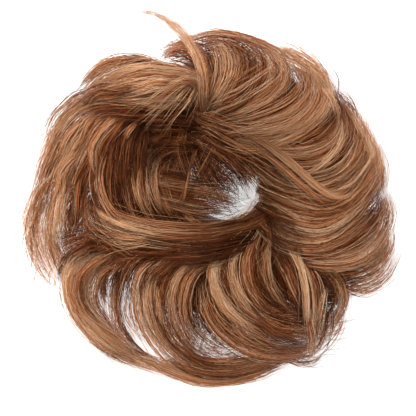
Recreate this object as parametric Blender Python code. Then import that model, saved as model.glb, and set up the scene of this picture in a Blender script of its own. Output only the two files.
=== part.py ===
"""Top knot hairpiece: curled locks of hair sewn round an elastic band, lying flat on a surface.

The band's middle is the centre of every angle and reach below. Angles run counterclockwise from +X
and are in degrees. A reach is a share of the way from the edge of the hole to HAIR_REACH, a lift is a
share of BODY_HEIGHT and a width is a share of LOCK_WIDTH.
"""

import math

import bmesh
import bpy
from mathutils import Vector


def table(columns, rows):
    """Give a table's rows as dictionaries with the columns' names."""
    return [dict(zip(columns, row)) for row in rows]


# Driving dimensions in metres
HAIR_REACH = 0.090
BODY_HEIGHT = 0.036
HOLE_RADIUS = 0.017
HOLE_COVER = 0.0017
BAND_THICKNESS = 0.005
BAND_LIFT = 0.012
LOCK_WIDTH = 0.0115
LOCK_DEPTH = 0.0080
CLEARANCE = 0.0003

# How full a lock is at its root and at its tip, as shares of its fullest
ROOT_FULLNESS = 0.70
TIP_FULLNESS = 0.15

# How finely the forms are faceted
LOCK_SIDES = 6
LOCK_RINGS = 9
SECTOR_STEP = 8.0
BAND_SIDES = 8
BAND_STEPS = 36

# How far the hair runs below the surface before its underside is cut flat, and how near the loose
# points of a drawn lock's ends lie to each other
SINK = 0.004
SAME_POINT = 0.00001

# Outline of the whole ring: the reach of its rim at each angle
OUTLINE = table(("angle", "reach"), (
    (0, 0.74), (30, 0.68), (60, 0.59), (90, 0.65), (120, 0.65), (150, 0.84),
    (180, 0.96), (210, 0.96), (240, 1.02), (270, 1.00), (300, 0.93), (330, 0.85), (360, 0.74),
))

# Height of the hair from the edge of the hole (0) to the rim (1)
CROWN = table(("way_out", "height"), (
    (0.00, 0.55), (0.10, 0.80), (0.25, 0.97), (0.45, 1.00), (0.65, 0.88), (0.85, 0.55), (1.00, 0.16),
))

# Section of the under-hair: its top by shares of the way out and of the crown's height, its side by
# shares of the way out and of the body's height, and the foot that it rests on
BACKING_TOP = table(("way_out", "height"), ((0.00, 0.80), (0.12, 1.00), (0.35, 1.00), (0.72, 0.96)))
BACKING_SIDE = table(("way_out", "height"), ((0.96, 0.50), (1.00, 0.28)))
BACKING_FOOT = 0.90

# The bundles, the one that lies over all others first. Each is sewn to its own sector of the band,
# on a backing of under-hair that runs out to a share of the rim.
BUNDLES = table(("name", "from_angle", "to_angle", "backing"), (
    ("upper_left_swoop", 122, 137, 0.68),
    ("inner_left_swirl", 152, 215, 0.68),
    ("lower_right_curls", 304, 355, 0.75),
    ("right_curls", -5, 60, 0.77),
    ("top_curls", 60, 122, 0.77),
    ("left_fall", 137, 152, 0.68),
    ("bottom_curls", 262, 304, 0.58),
    ("lower_left_loops", 215, 262, 0.51),
))

# The locks of each bundle, a row for each: its root on the backing, three stations of its route, each
# an angle, a reach and a lift, and its width
LOCK_COLUMNS = (
    "root_at", "root_reach", "rise_at", "rise_reach", "rise_lift",
    "bend_at", "bend_reach", "bend_lift", "tip_at", "tip_reach", "tip_lift", "width",
)
LOCKS = {
    "upper_left_swoop": (
        (125, 0.16, 113, 0.46, 1.05, 131, 0.72, 0.80, 149, 0.80, 0.50, 1.1),
        (127, 0.19, 117, 0.41, 1.20, 134, 0.63, 1.00, 152, 0.78, 0.70, 1.2),
        (131, 0.21, 125, 0.40, 1.15, 143, 0.58, 0.95, 157, 0.74, 0.65, 1.1),
        (123, 0.21, 108, 0.43, 1.30, 108, 0.74, 0.95, 121, 0.93, 0.60, 0.3),
        (126, 0.38, 132, 0.53, 0.30, 145, 0.63, 0.20, 160, 0.70, 0.20, 1.4),
    ),
    "inner_left_swirl": (
        (140, 0.12, 163, 0.26, 0.95, 197, 0.27, 0.95, 229, 0.16, 0.85, 1.1),
        (146, 0.26, 165, 0.41, 1.00, 197, 0.43, 1.00, 222, 0.31, 0.95, 1.2),
        (193, 0.63, 207, 0.56, 0.90, 230, 0.36, 0.95, 264, 0.22, 0.90, 1.2),
        (192, 0.58, 216, 0.32, 1.15, 262, 0.12, 1.10, 345, 0.09, 0.90, 0.8),
        (156, 0.46, 168, 0.63, 0.35, 188, 0.73, 0.25, 210, 0.73, 0.20, 1.4),
    ),
    "lower_right_curls": (
        (-14, 0.10, -18, 0.28, 1.15, -10, 0.47, 1.10, 10, 0.64, 0.65, 0.9),
        (-30, 0.08, -27, 0.26, 1.10, -19, 0.46, 1.10, -1, 0.64, 0.75, 1.0),
        (-41, 0.12, -32, 0.33, 1.10, -22, 0.53, 1.00, -4, 0.68, 0.55, 1.1),
        (-50, 0.19, -38, 0.41, 1.05, -25, 0.61, 0.85, -5, 0.72, 0.35, 1.1),
        (-55, 0.19, -44, 0.46, 0.95, -30, 0.69, 0.65, -8, 0.74, 0.40, 1.3),
        (-48, 0.38, -41, 0.61, 0.50, -32, 0.77, 0.30, -16, 0.75, 0.25, 1.2),
        (38, 0.06, 8, 0.15, 1.15, -10, 0.33, 1.30, -2, 0.58, 0.90, 0.5),
        (-52, 0.38, -42, 0.61, 0.25, -24, 0.68, 0.20, -2, 0.64, 0.20, 1.4),
    ),
    "right_curls": (
        (70, 0.09, 47, 0.17, 1.10, 39, 0.38, 1.10, 46, 0.57, 0.60, 1.1),
        (58, 0.08, 38, 0.16, 1.05, 30, 0.35, 1.05, 39, 0.59, 0.60, 1.1),
        (34, 0.08, 20, 0.21, 1.00, 19, 0.43, 0.90, 33, 0.58, 0.50, 1.1),
        (8, 0.11, 2, 0.33, 1.10, 13, 0.53, 0.90, 33, 0.61, 0.35, 1.2),
        (-12, 0.58, 2, 0.68, 0.45, 18, 0.64, 0.40, 38, 0.59, 0.30, 1.0),
        (-2, 0.38, 12, 0.58, 0.20, 36, 0.53, 0.18, 60, 0.48, 0.20, 1.4),
    ),
    "top_curls": (
        (110, 0.21, 97, 0.32, 1.05, 90, 0.46, 0.95, 97, 0.58, 0.55, 0.9),
        (110, 0.16, 86, 0.28, 1.10, 77, 0.46, 0.90, 92, 0.59, 0.45, 1.0),
        (106, 0.14, 78, 0.22, 1.05, 64, 0.38, 1.00, 76, 0.56, 0.60, 1.1),
        (104, 0.11, 64, 0.19, 1.05, 50, 0.43, 0.95, 66, 0.57, 0.45, 1.1),
        (90, 0.09, 62, 0.14, 1.10, 48, 0.35, 1.10, 54, 0.54, 0.60, 1.0),
        (54, 0.51, 76, 0.59, 0.40, 98, 0.63, 0.35, 121, 0.58, 0.30, 1.0),
        (64, 0.31, 80, 0.48, 0.20, 100, 0.53, 0.18, 120, 0.51, 0.20, 1.4),
        (104, 0.38, 108, 0.49, 0.85, 115, 0.58, 0.60, 124, 0.61, 0.45, 0.8),
    ),
    "left_fall": (
        (142, 0.41, 157, 0.73, 0.65, 174, 0.86, 0.45, 196, 1.00, 0.25, 1.2),
        (142, 0.38, 160, 0.64, 0.85, 178, 0.77, 0.60, 202, 0.93, 0.30, 1.3),
        (144, 0.33, 160, 0.51, 1.00, 180, 0.62, 0.80, 203, 0.78, 0.45, 1.3),
        (147, 0.53, 158, 0.64, 1.10, 169, 0.62, 1.05, 180, 0.54, 0.95, 0.5),
    ),
    "bottom_curls": (
        (280, 0.14, 258, 0.30, 1.10, 266, 0.54, 0.85, 291, 0.80, 0.45, 1.0),
        (288, 0.11, 272, 0.27, 1.10, 276, 0.52, 0.95, 295, 0.77, 0.60, 1.0),
        (296, 0.09, 283, 0.25, 1.15, 283, 0.51, 1.05, 297, 0.74, 0.75, 1.0),
        (264, 0.31, 260, 0.56, 0.65, 274, 0.79, 0.40, 295, 0.86, 0.25, 0.8),
        (298, 0.14, 293, 0.33, 0.95, 293, 0.51, 0.80, 297, 0.68, 0.50, 1.0),
        (299, 0.26, 305, 0.51, 0.90, 302, 0.72, 0.65, 296, 0.93, 0.30, 0.8),
        (303, 0.28, 316, 0.56, 0.55, 313, 0.74, 0.30, 300, 0.88, 0.20, 0.9),
    ),
    "lower_left_loops": (
        (220, 0.36, 207, 0.72, 0.65, 220, 0.93, 0.40, 249, 0.94, 0.25, 1.1),
        (206, 0.75, 220, 0.98, 0.25, 236, 0.99, 0.20, 257, 0.95, 0.20, 0.7),
        (222, 0.38, 216, 0.68, 0.55, 222, 0.84, 0.40, 240, 0.90, 0.30, 0.8),
        (224, 0.38, 227, 0.75, 0.40, 236, 0.90, 0.30, 249, 0.93, 0.30, 0.3),
        (229, 0.28, 226, 0.53, 0.70, 238, 0.78, 0.45, 264, 0.96, 0.25, 0.9),
        (240, 0.28, 238, 0.53, 0.80, 247, 0.78, 0.50, 273, 0.93, 0.25, 1.0),
        (254, 0.26, 246, 0.45, 0.95, 250, 0.67, 0.70, 268, 0.83, 0.35, 0.9),
        (246, 0.90, 262, 0.96, 0.20, 279, 0.94, 0.20, 297, 0.85, 0.20, 0.9),
    ),
}

# Colours and finishes
HAIR_COLOUR = (0.30, 0.115, 0.045, 1.0)
HAIR_ROUGHNESS = 0.45
BAND_COLOUR = (0.045, 0.022, 0.014, 1.0)
BAND_ROUGHNESS = 0.85

# Sizes that follow from the ones above
BAND_RADIUS = HOLE_RADIUS + HOLE_COVER + BAND_THICKNESS / 2
TAU = 2 * math.pi


def clear_scene():
    """Remove every object that is in the scene."""
    for thing in list(bpy.data.objects):
        bpy.data.objects.remove(thing, do_unlink=True)


def new_collection(name):
    """Make a collection in the scene and return it."""
    group = bpy.data.collections.new(name)
    bpy.context.scene.collection.children.link(group)
    return group


def plain_material(name, colour, roughness):
    """Make a plain Principled material."""
    material = bpy.data.materials.new(name)
    material.use_nodes = True
    shader = material.node_tree.nodes["Principled BSDF"]
    shader.inputs["Base Color"].default_value = colour
    shader.inputs["Roughness"].default_value = roughness
    shader.inputs["Metallic"].default_value = 0.0
    return material


def eased(knots, at):
    """Read a smooth curve through evenly spaced knots, at a place between 0 and 1."""
    place = at * (len(knots) - 1)
    start = min(int(place), len(knots) - 2)
    t = place - start
    before = knots[start - 1] if start > 0 else 2 * knots[start] - knots[start + 1]
    first = knots[start]
    last = knots[start + 1]
    after = knots[start + 2] if start + 2 < len(knots) else 2 * last - first
    slope = (last - before) / 2
    next_slope = (after - first) / 2
    return (
        first * (2 * t ** 3 - 3 * t ** 2 + 1) + slope * (t ** 3 - 2 * t ** 2 + t)
        + last * (3 * t ** 2 - 2 * t ** 3) + next_slope * (t ** 3 - t ** 2)
    )


def between(rows, key, value, at):
    """Read a table at a place between its rows, in a straight line from row to row."""
    low, high = next(pair for pair in zip(rows, rows[1:]) if pair[0][key] <= at <= pair[1][key])
    t = (at - low[key]) / (high[key] - low[key])
    return low[value] + (high[value] - low[value]) * t


def radius_at(reach):
    """Turn a reach into a distance from the band's middle, in metres."""
    return HOLE_RADIUS + reach * (HAIR_REACH - HOLE_RADIUS)


def rim(angle):
    """Give the distance from the band's middle to the ring's rim at an angle, in metres."""
    return radius_at(between(OUTLINE, "angle", "reach", angle % 360))


def crown(angle, radius):
    """Give the height of the under-hair at a place round the ring, in metres."""
    way_out = (radius - HOLE_RADIUS) / (rim(angle) - HOLE_RADIUS)
    return between(CROWN, "way_out", "height", min(max(way_out, 0.0), 1.0)) * BODY_HEIGHT


def around(angle, radius, height):
    """Place a point by its angle, its distance from the band's middle and its height."""
    turn = math.radians(angle)
    return Vector((radius * math.cos(turn), radius * math.sin(turn), height))


def fullness(way):
    """Give how full a lock is along its way: it swells over the first fifth and thins over its last half."""
    swell = min(1.0, ROOT_FULLNESS + 5 * (1 - ROOT_FULLNESS) * way)
    thinning = max(0.0, 2 * way - 1) ** 2
    return swell * (1 - (1 - TIP_FULLNESS) * thinning)


def lock_route(row, grow):
    """Work out a lock's route: its points and its thickness at each of them."""
    angles = [row["root_at"], row["rise_at"], row["bend_at"], row["tip_at"]]
    reaches = [row["root_reach"], row["rise_reach"], row["bend_reach"], row["tip_reach"]]
    seat = crown(row["root_at"], radius_at(row["root_reach"])) / BODY_HEIGHT
    lifts = [seat, row["rise_lift"], row["bend_lift"], row["tip_lift"]]
    points = []
    sizes = []
    for ring in range(LOCK_RINGS):
        way = ring / (LOCK_RINGS - 1)
        angle = eased(angles, way)
        radius = radius_at(eased(reaches, way))
        size = row["width"] * fullness(way)
        height = max(eased(lifts, way) * BODY_HEIGHT, size * LOCK_DEPTH / 2)
        points.append(around(angle, radius, height))
        sizes.append(size + grow / (LOCK_DEPTH / 2))
    points[0] += (points[0] - points[1]).normalized() * grow
    points[-1] += (points[-1] - points[-2]).normalized() * grow
    return points, sizes


def lock_section():
    """Make the flat oval outline that every lock is drawn along its route with."""
    outline = bpy.data.curves.new("lock_section", "CURVE")
    outline.dimensions = "2D"
    spline = outline.splines.new("POLY")
    spline.points.add(LOCK_SIDES - 1)
    for side, point in enumerate(spline.points):
        turn = TAU * (side + 0.5) / LOCK_SIDES
        point.co = (LOCK_WIDTH / 2 * math.cos(turn), LOCK_DEPTH / 2 * math.sin(turn), 0.0, 1.0)
    spline.use_cyclic_u = True
    return bpy.data.objects.new("lock_section", outline)


def mesh_object(name, group, body):
    """Turn a bmesh into an object whose faces point outwards and are split the same way at any size."""
    bmesh.ops.recalc_face_normals(body, faces=body.faces)
    bmesh.ops.triangulate(body, faces=body.faces, quad_method="FIXED", ngon_method="BEAUTY")
    mesh = bpy.data.meshes.new(name)
    body.to_mesh(mesh)
    body.free()
    thing = bpy.data.objects.new(name, mesh)
    group.objects.link(thing)
    return thing


def lock_solid(name, row, section, group, grow=0.0):
    """Draw one lock as a tapering tube of oval section, closed at both ends."""
    points, sizes = lock_route(row, grow)
    strand = bpy.data.curves.new(name, "CURVE")
    strand.dimensions = "3D"
    strand.twist_mode = "Z_UP"
    strand.bevel_mode = "OBJECT"
    strand.bevel_object = section
    strand.use_fill_caps = True
    spline = strand.splines.new("POLY")
    spline.points.add(len(points) - 1)
    for control, place, size in zip(spline.points, points, sizes):
        control.co = (*place, 1.0)
        control.radius = size
    tube = bpy.data.objects.new(name, strand)
    group.objects.link(tube)
    evaluated = tube.evaluated_get(bpy.context.evaluated_depsgraph_get())
    drawn = bpy.data.meshes.new_from_object(evaluated)
    bpy.data.objects.remove(tube, do_unlink=True)
    body = bmesh.new()
    body.from_mesh(drawn)
    bpy.data.meshes.remove(drawn)
    bmesh.ops.remove_doubles(body, verts=body.verts, dist=SAME_POINT)
    return mesh_object(name, group, body)


def backing_section(angle, backing, grow):
    """Give the outline of the under-hair at an angle, from the hole's edge over the top to the floor."""
    inner = HOLE_RADIUS - grow
    outer = HOLE_RADIUS + (rim(angle) - HOLE_RADIUS) * backing + grow
    outline = [around(angle, inner, -SINK - grow)]
    for row in BACKING_TOP:
        radius = inner + row["way_out"] * (outer - inner)
        outline.append(around(angle, radius, row["height"] * crown(angle, radius) + grow))
    for row in BACKING_SIDE:
        radius = inner + row["way_out"] * (outer - inner)
        outline.append(around(angle, radius, row["height"] * BODY_HEIGHT + grow))
    outline.append(around(angle, inner + BACKING_FOOT * (outer - inner), -SINK - grow))
    return outline


def backing_angles(bundle, grow):
    """List the angles of the sections round a bundle's sector, with one more at each end if it grows."""
    start = bundle["from_angle"]
    end = bundle["to_angle"]
    steps = max(2, round((end - start) / SECTOR_STEP))
    angles = [start + (end - start) * step / steps for step in range(steps + 1)]
    if grow > 0:
        spread = math.degrees(grow / HOLE_RADIUS)
        angles = [start - spread] + angles + [end + spread]
    return angles


def backing_solid(name, bundle, group, grow=0.0):
    """Loft the under-hair of one bundle through sections round its sector of the band."""
    body = bmesh.new()
    sections = []
    for angle in backing_angles(bundle, grow):
        sections.append([body.verts.new(place) for place in backing_section(angle, bundle["backing"], grow)])
    for near, far in zip(sections, sections[1:]):
        for place in range(len(near)):
            after = (place + 1) % len(near)
            body.faces.new((near[place], near[after], far[after], far[place]))
    body.faces.new(sections[0])
    body.faces.new(sections[-1])
    return mesh_object(name, group, body)


def band_ring(name, thickness, group):
    """Make the elastic band, or with a greater thickness the channel that it lies in."""
    bpy.ops.mesh.primitive_torus_add(
        major_segments=BAND_STEPS, minor_segments=BAND_SIDES, major_radius=BAND_RADIUS,
        minor_radius=thickness / 2, location=(0.0, 0.0, BAND_LIFT),
    )
    ring = bpy.context.object
    ring.name = name
    for holder in list(ring.users_collection):
        holder.objects.unlink(ring)
    group.objects.link(ring)
    return ring


def floor_slab(group):
    """Make the block that cuts the underside of the hair flat."""
    bpy.ops.mesh.primitive_cube_add(size=1.0, location=(0.0, 0.0, -SINK * 2.5))
    slab = bpy.context.object
    slab.name = "floor_slab"
    slab.scale = (HAIR_REACH * 4, HAIR_REACH * 4, SINK * 5)
    for holder in list(slab.users_collection):
        holder.objects.unlink(slab)
    group.objects.link(slab)
    return slab


def keep_result(target):
    """Keep what an object's modifiers make as its own mesh."""
    evaluated = target.evaluated_get(bpy.context.evaluated_depsgraph_get())
    result = bpy.data.meshes.new_from_object(evaluated)
    target.modifiers.clear()
    spent = target.data
    target.data = result
    bpy.data.meshes.remove(spent)


def fuse(target, tools):
    """Join an object with all the objects of a collection into one body."""
    step = target.modifiers.new("fuse", "BOOLEAN")
    step.operation = "UNION"
    step.solver = "EXACT"
    step.operand_type = "COLLECTION"
    step.collection = tools
    keep_result(target)


def cut(target, tool):
    """Cut an object with another, where their boxes meet."""
    own = box_of(target)
    other = box_of(tool)
    if any(own[0][axis] > other[1][axis] or other[0][axis] > own[1][axis] for axis in range(3)):
        return
    step = target.modifiers.new("cut", "BOOLEAN")
    step.operation = "DIFFERENCE"
    step.solver = "EXACT"
    step.object = tool
    keep_result(target)


def box_of(thing):
    """Give the lowest and highest corners of an object."""
    corners = [thing.matrix_world @ vertex.co for vertex in thing.data.vertices]
    lowest = [min(corner[axis] for corner in corners) for axis in range(3)]
    highest = [max(corner[axis] for corner in corners) for axis in range(3)]
    return lowest, highest


def keep_main_body(thing):
    """Remove the small offcuts that the neighbours have left loose."""
    body = bmesh.new()
    body.from_mesh(thing.data)
    left = set(body.verts)
    bodies = []
    while left:
        seed = left.pop()
        found = {seed}
        edge_of = [seed]
        while edge_of:
            vertex = edge_of.pop()
            for edge in vertex.link_edges:
                other = edge.other_vert(vertex)
                if other not in found:
                    found.add(other)
                    edge_of.append(other)
        left -= found
        bodies.append(found)
    bodies.sort(key=len)
    for offcut in bodies[:-1]:
        bmesh.ops.delete(body, geom=list(offcut), context="VERTS")
    body.to_mesh(thing.data)
    body.free()


def fused_bundle(name, bundle, section, group, grow=0.0):
    """Fuse one bundle's locks to its backing, at their own size or grown by a clearance."""
    thing = backing_solid(name, bundle, group, grow)
    locks = new_collection(name + "_locks")
    for number, row in enumerate(table(LOCK_COLUMNS, LOCKS[bundle["name"]])):
        lock_solid(f"{name}_lock_{number + 1}", row, section, locks, grow)
    fuse(thing, locks)
    for lock in list(locks.objects):
        bpy.data.objects.remove(lock, do_unlink=True)
    bpy.data.collections.remove(locks)
    keep_main_body(thing)
    return thing


def centre_over_origin(parts):
    """Hang every piece on one empty and move it so that the whole box stands over the origin."""
    pieces = list(parts.objects)
    boxes = [box_of(piece) for piece in pieces]
    frame = bpy.data.objects.new("hairpiece_frame", None)
    parts.objects.link(frame)
    for piece in pieces:
        piece.parent = frame
    lowest = [min(low[axis] for low, high in boxes) for axis in range(2)]
    highest = [max(high[axis] for low, high in boxes) for axis in range(2)]
    frame.location = (-(lowest[0] + highest[0]) / 2, -(lowest[1] + highest[1]) / 2, 0.0)


def main():
    clear_scene()
    parts = new_collection("top_knot_hairpiece")
    cutters = new_collection("cutters")
    section = lock_section()
    cutters.objects.link(section)
    channel = band_ring("band_channel", BAND_THICKNESS + 2 * CLEARANCE, cutters)
    slab = floor_slab(cutters)
    bpy.context.view_layer.update()
    hair = plain_material("hair", HAIR_COLOUR, HAIR_ROUGHNESS)
    elastic = plain_material("elastic", BAND_COLOUR, BAND_ROUGHNESS)
    above = []
    for bundle in BUNDLES:
        piece = fused_bundle(bundle["name"], bundle, section, parts)
        for tool in [slab] + above + [channel]:
            cut(piece, tool)
        keep_main_body(piece)
        piece.data.materials.clear()
        piece.data.materials.append(hair)
        above.append(fused_bundle(bundle["name"] + "_room", bundle, section, cutters, CLEARANCE))
    band = band_ring("elastic_band", BAND_THICKNESS, parts)
    band.data.materials.append(elastic)
    band.data.shade_smooth()
    for tool in above + [section, channel, slab]:
        tool.hide_render = True
        tool.display_type = "WIRE"
    bpy.context.view_layer.update()
    centre_over_origin(parts)


main()
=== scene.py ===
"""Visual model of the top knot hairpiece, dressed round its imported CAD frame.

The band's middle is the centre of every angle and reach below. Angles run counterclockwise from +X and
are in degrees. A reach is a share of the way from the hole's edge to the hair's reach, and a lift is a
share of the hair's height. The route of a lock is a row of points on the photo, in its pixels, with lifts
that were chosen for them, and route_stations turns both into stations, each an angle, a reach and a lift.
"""

import math

import bpy
import numpy as np
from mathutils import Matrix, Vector


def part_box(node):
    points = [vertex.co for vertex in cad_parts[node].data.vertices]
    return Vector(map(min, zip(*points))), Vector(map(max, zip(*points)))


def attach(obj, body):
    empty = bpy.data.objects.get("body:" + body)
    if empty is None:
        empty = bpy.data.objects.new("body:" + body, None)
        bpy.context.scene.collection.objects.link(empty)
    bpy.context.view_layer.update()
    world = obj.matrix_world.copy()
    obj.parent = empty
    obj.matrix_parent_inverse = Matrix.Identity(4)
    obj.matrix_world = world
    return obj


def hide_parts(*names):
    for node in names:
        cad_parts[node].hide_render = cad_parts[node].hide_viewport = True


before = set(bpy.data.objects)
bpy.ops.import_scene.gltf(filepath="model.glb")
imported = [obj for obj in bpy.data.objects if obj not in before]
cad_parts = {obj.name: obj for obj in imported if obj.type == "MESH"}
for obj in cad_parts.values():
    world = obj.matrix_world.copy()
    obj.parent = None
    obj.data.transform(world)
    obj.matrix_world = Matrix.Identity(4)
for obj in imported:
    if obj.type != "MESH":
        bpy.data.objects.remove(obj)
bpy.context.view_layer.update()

bl_info = {
    "name": "Top Knot Hairpiece",
    "version": (1, 0, 0),
    "blender": (4, 5, 0),
    "location": "3D View > Sidebar > Hairpiece",
    "description": "Builds a ring of curled locks of hair round an elastic band, with a plain studio stage",
    "category": "Object",
}

# Sizes that come from the frame, and how far the hair covers the inner edge of the band
BAND_LOW, BAND_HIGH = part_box("elastic_band")
BAND_MIDDLE = (BAND_LOW + BAND_HIGH) / 2
BAND_THICKNESS = BAND_HIGH.z - BAND_LOW.z
BAND_RADIUS = (BAND_HIGH.x - BAND_LOW.x - BAND_THICKNESS) / 2
HOLE_COVER = 0.0017
HOLE_RADIUS = BAND_RADIUS - BAND_THICKNESS / 2 - HOLE_COVER

# Sizes in metres that the reaches and lifts are shares of, and how many millimetres a metre has
HAIR_REACH = 0.090
HAIR_HEIGHT = 0.036
MILLIMETRES = 1000

# The camera: its place over the floor, its height, the height of the hair that its view is measured at, the
# width of its sensor in millimetres and how far it sees
CAMERA_PLACE = (-0.0012, -0.0031)
CAMERA_HEIGHT = 1.2
VIEW_HEIGHT = 0.015
SENSOR_WIDTH = 36.0
SIGHT = 20.0

# How points in the photo are read: the middles of the photo and of the band, in pixels, and the size of a
# pixel at the view's height
PHOTO_MIDDLE = 208
BAND_PIXEL = (230, 180)
PIXEL_SIZE = 0.00044

# How many places along a route its length is measured from, and how many stations it keeps
ROUTE_READINGS = 201
LOCK_STATIONS = 6
LOOSE_STATIONS = 5

# Strands for each square millimetre of a lock, which is its length times the sum of its widths at the root,
# twice at the middle and at the tip, and the fewest that a lock has as it is and when its share is cut
STRAND_DENSITY = 0.0645714
FEWEST_STRANDS = 5
FEWEST_LEFT = 3

# Outline of the whole ring: at each angle, how far its rim is from the band's middle, as a share of the
# hair's reach, and the reach that this makes
OUTLINE_ANGLES = (0, 30, 60, 90, 120, 150, 180, 210, 240, 270, 300, 330, 360)
OUTLINE_SHARES = (0.79, 0.74, 0.67, 0.72, 0.72, 0.87, 0.97, 0.97, 1.02, 1.00, 0.94, 0.88, 0.79)
OUTLINE_REACHES = [
    round((share * HAIR_REACH - HOLE_RADIUS) / (HAIR_REACH - HOLE_RADIUS), 2) for share in OUTLINE_SHARES
]

# The bundles: the sector of each one's under-hair, how far out it runs as a share of the rim, its lift, and
# the reaches across its sector and the tone of the combed layer over it
BUNDLES = (
    ("upper_left_swoop", 122, 137, 0.64, 0.42, (0.90, 0.94), 0.20),
    ("inner_left_swirl", 152, 215, 0.64, 0.60, (0.85, 0.88, 0.84), 0.32),
    ("lower_right_curls", 304, 355, 0.78, 0.76, (0.90, 0.93, 0.98), 0.33),
    ("right_curls", -5, 60, 0.80, 0.76, (0.98, 0.97), 0.38),
    ("top_curls", 60, 122, 0.80, 0.72, (0.98, 0.95, 0.93, 0.86), 0.40),
    ("left_fall", 137, 152, 0.60, 0.42, (0.98, 0.94), 0.26),
    ("bottom_curls", 262, 304, 0.60, 0.70, (0.62, 0.78, 1.05, 0.86), 0.28),
    ("lower_left_loops", 215, 262, 0.57, 0.66, (0.82, 0.60), 0.32),
)

# Section of the under-hair, from the hole's edge to its foot: shares of the way out and of the height
UNDER_SECTION = (
    (0.00, 0.03), (0.00, 0.24), (0.02, 0.50), (0.08, 0.74), (0.18, 0.92), (0.32, 1.00), (0.48, 0.97),
    (0.62, 0.87), (0.76, 0.71), (0.88, 0.50), (0.96, 0.26), (1.00, 0.03),
)

# How the under-hair is combed: the angle that it runs past its sector, the angle between its sections, how
# much they differ in size, and the reach of its inner edge
UNDER_OVERLAP = 1.5
UNDER_STEP = 1.6
FEWEST_SECTIONS = 6
UNDER_COMB = 0.035
UNDER_INNER_REACH = 0.01

# The combed layer over the under-hair: its height from the hole's edge to the rim, the width of its strands
# as a share of a strand's, and by how much they spread, sweep round and bow on their way out
BASE_SECTION = (
    (0.00, 0.30), (0.05, 0.62), (0.15, 0.82), (0.35, 0.88), (0.60, 0.74), (0.80, 0.50), (1.00, 0.10),
)
BASE_WIDTH_STEPS = (0, 0.5, 0.85, 1)
BASE_WIDTHS = (0.55, 0.78, 0.72, 0.20)
BASE_STRANDS_PER_DEGREE = 5.0
BASE_RINGS = 9
BASE_OVERLAP = 2
BASE_LENGTHS = (0.85, 1.0)
BASE_HEIGHTS = (0.90, 1.04)
BASE_INNER_REACH = 0.03
BASE_SWEEP = 20
BASE_BOW = 12
BASE_SPREAD = 3.0
BASE_LIFT = 0.76
BASE_LIFT_END = 0.7
BASE_TONE_SPREAD = 0.12

# Locks whose root lies nearer to the hole than this reach are drawn from where they are sewn to the band:
# the share of their reach that is left there, and what is added to it
SEWN_REACH = 0.30
SEWN_REACH_SHARE = 0.1
SEWN_REACH_MORE = 0.02

# The shares of a route that its clumps and its strands leave free at the tip and at an unsewn root
TIP_FREE = (0.26, 0.09)
ROOT_FREE = (0.13, 0.06)
ROOT_SPREAD = 0.02
SHORTEST_STRAND = 0.3

# The section of a lock: where its widths hold along it, its greatest half depth, how far out clumps lie in
# it, how far they drift, how much it twists in degrees, and how loosely strands lie in a clump
WIDTH_STEPS = (0, 0.3, 0.65, 1)
WIDTH_ORDER = (0, 1, 1, 2)
DEEPEST_HALF = 0.0032
CLUMP_ASIDE = 0.95
CLUMP_ABOVE = (-0.2, 1.0)
CLUMP_DRIFT = 0.24
LOCK_TWIST = 25
CLUMP_SPREADS = (0.12, 0.36)
TIP_SPREAD = 1.3
STRANDS_PER_CLUMP = 5

# The sways of clumps and of strands: waves along a lock, shares of the full size, and how they grow
CLUMP_WAVES = (0.4, 1.1)
STRAND_WAVES = (0.8, 2.2)
SWAY_SHARES = (0.3, 1.0)
SWAY_GROWTH = 5
LEAST_SWAY = 0.15

# Stray strands: how far they leave their lock, how that grows along them, how much of it is upwards, and
# their thickness
STRAY_DISTANCE = 0.0075
STRAY_GROWTH = 1.3
STRAY_RISE = 0.6
STRAY_THICKNESS = 0.7

# Thickness of the strands: its range, its loss at the tip, its start and growth at a root that isn't sewn,
# and the gap that strands keep from the floor
STRAND_THICKNESSES = (0.75, 1.2)
TIP_LOSS = 0.75
TIP_LOSS_GROWTH = 4
ROOT_THICKNESS = 0.3
ROOT_GROWTH = 5
FLOOR_GAP = 0.0002

# Rings along a strand: how many places they are worked out from, how many are added, their limits, and the
# turns of a ring's three corners
RING_READINGS = 61
SPARE_RINGS = 3
RING_LIMITS = (7, 18)
STRAND_TURNS = (90, 210, 330)

# Tones: how they spread by clump and by strand, the share of strands that are much paler or darker and by
# how much, how much paler upper and middle strands are, as painted light on top of a lock and at its middle
# and painted shade deeper in it and at its sides, the share of the map's width that the under-hair's dark
# tones take, which are painted shade, and the range of the locks' tones
CLUMP_TONES = 0.09
STRAND_TONES = 0.13
ODD_SHARE = 0.14
ODD_TONE = 0.28
UPPER_PAINTED_LIGHT = 0.20
UPPER_RANGE = (-0.5, 1)
UPPER_MIDDLE = 0.4
SIDE_PAINTED_SHADE = 0.20
SIDE_LIMIT = 1.2
SIDE_MIDDLE = 0.5
DARK_SHARE = 0.12
TONE_RANGE = (0.13, 0.985)

# The map: the width of one side of a strand, its highest place, its lowest for sewn and for unsewn roots,
# the share of the way out at which hair counts as far from the hole, and how much of a strand's height on
# the map comes from its distance to the hole and from its own length
# The height on the map sets the painted shade and light: dark near the hole and the roots, light far out
STRAND_MAP_STEP = 0.0045
MAP_TOP = 0.98
MAP_SEWN = 0.02
MAP_UNSEWN = 0.30
FAR_SHARE = 0.5
HEIGHT_SHARES = (0.5, 0.5)

# The under-hair on the map: its first place and width across, its lowest place and height up, and the same
# for its end faces
UNDER_MAP_START = 0.01
UNDER_MAP_WIDTH = DARK_SHARE - 0.03
UNDER_MAP_LOW = 0.02
UNDER_MAP_HEIGHT = 0.96
END_MAP_SIDES = (0.02, 0.05)
END_MAP_HEIGHT = 0.9

# Lowest place on the map of the loose hairs, which lie on top and so get less of the painted shade near
# their roots, and how loosely they sway and how thick they are as shares of a lock's strands
LOOSE_HEIGHT = 0.45
LOOSE_SWAY = 1.4
LOOSE_THICKNESS = 0.8

# Seeds of the random draws: the first bundle's, and the loose hairs'
BUNDLE_SEED = 100
LOOSE_SEED = 7
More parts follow.
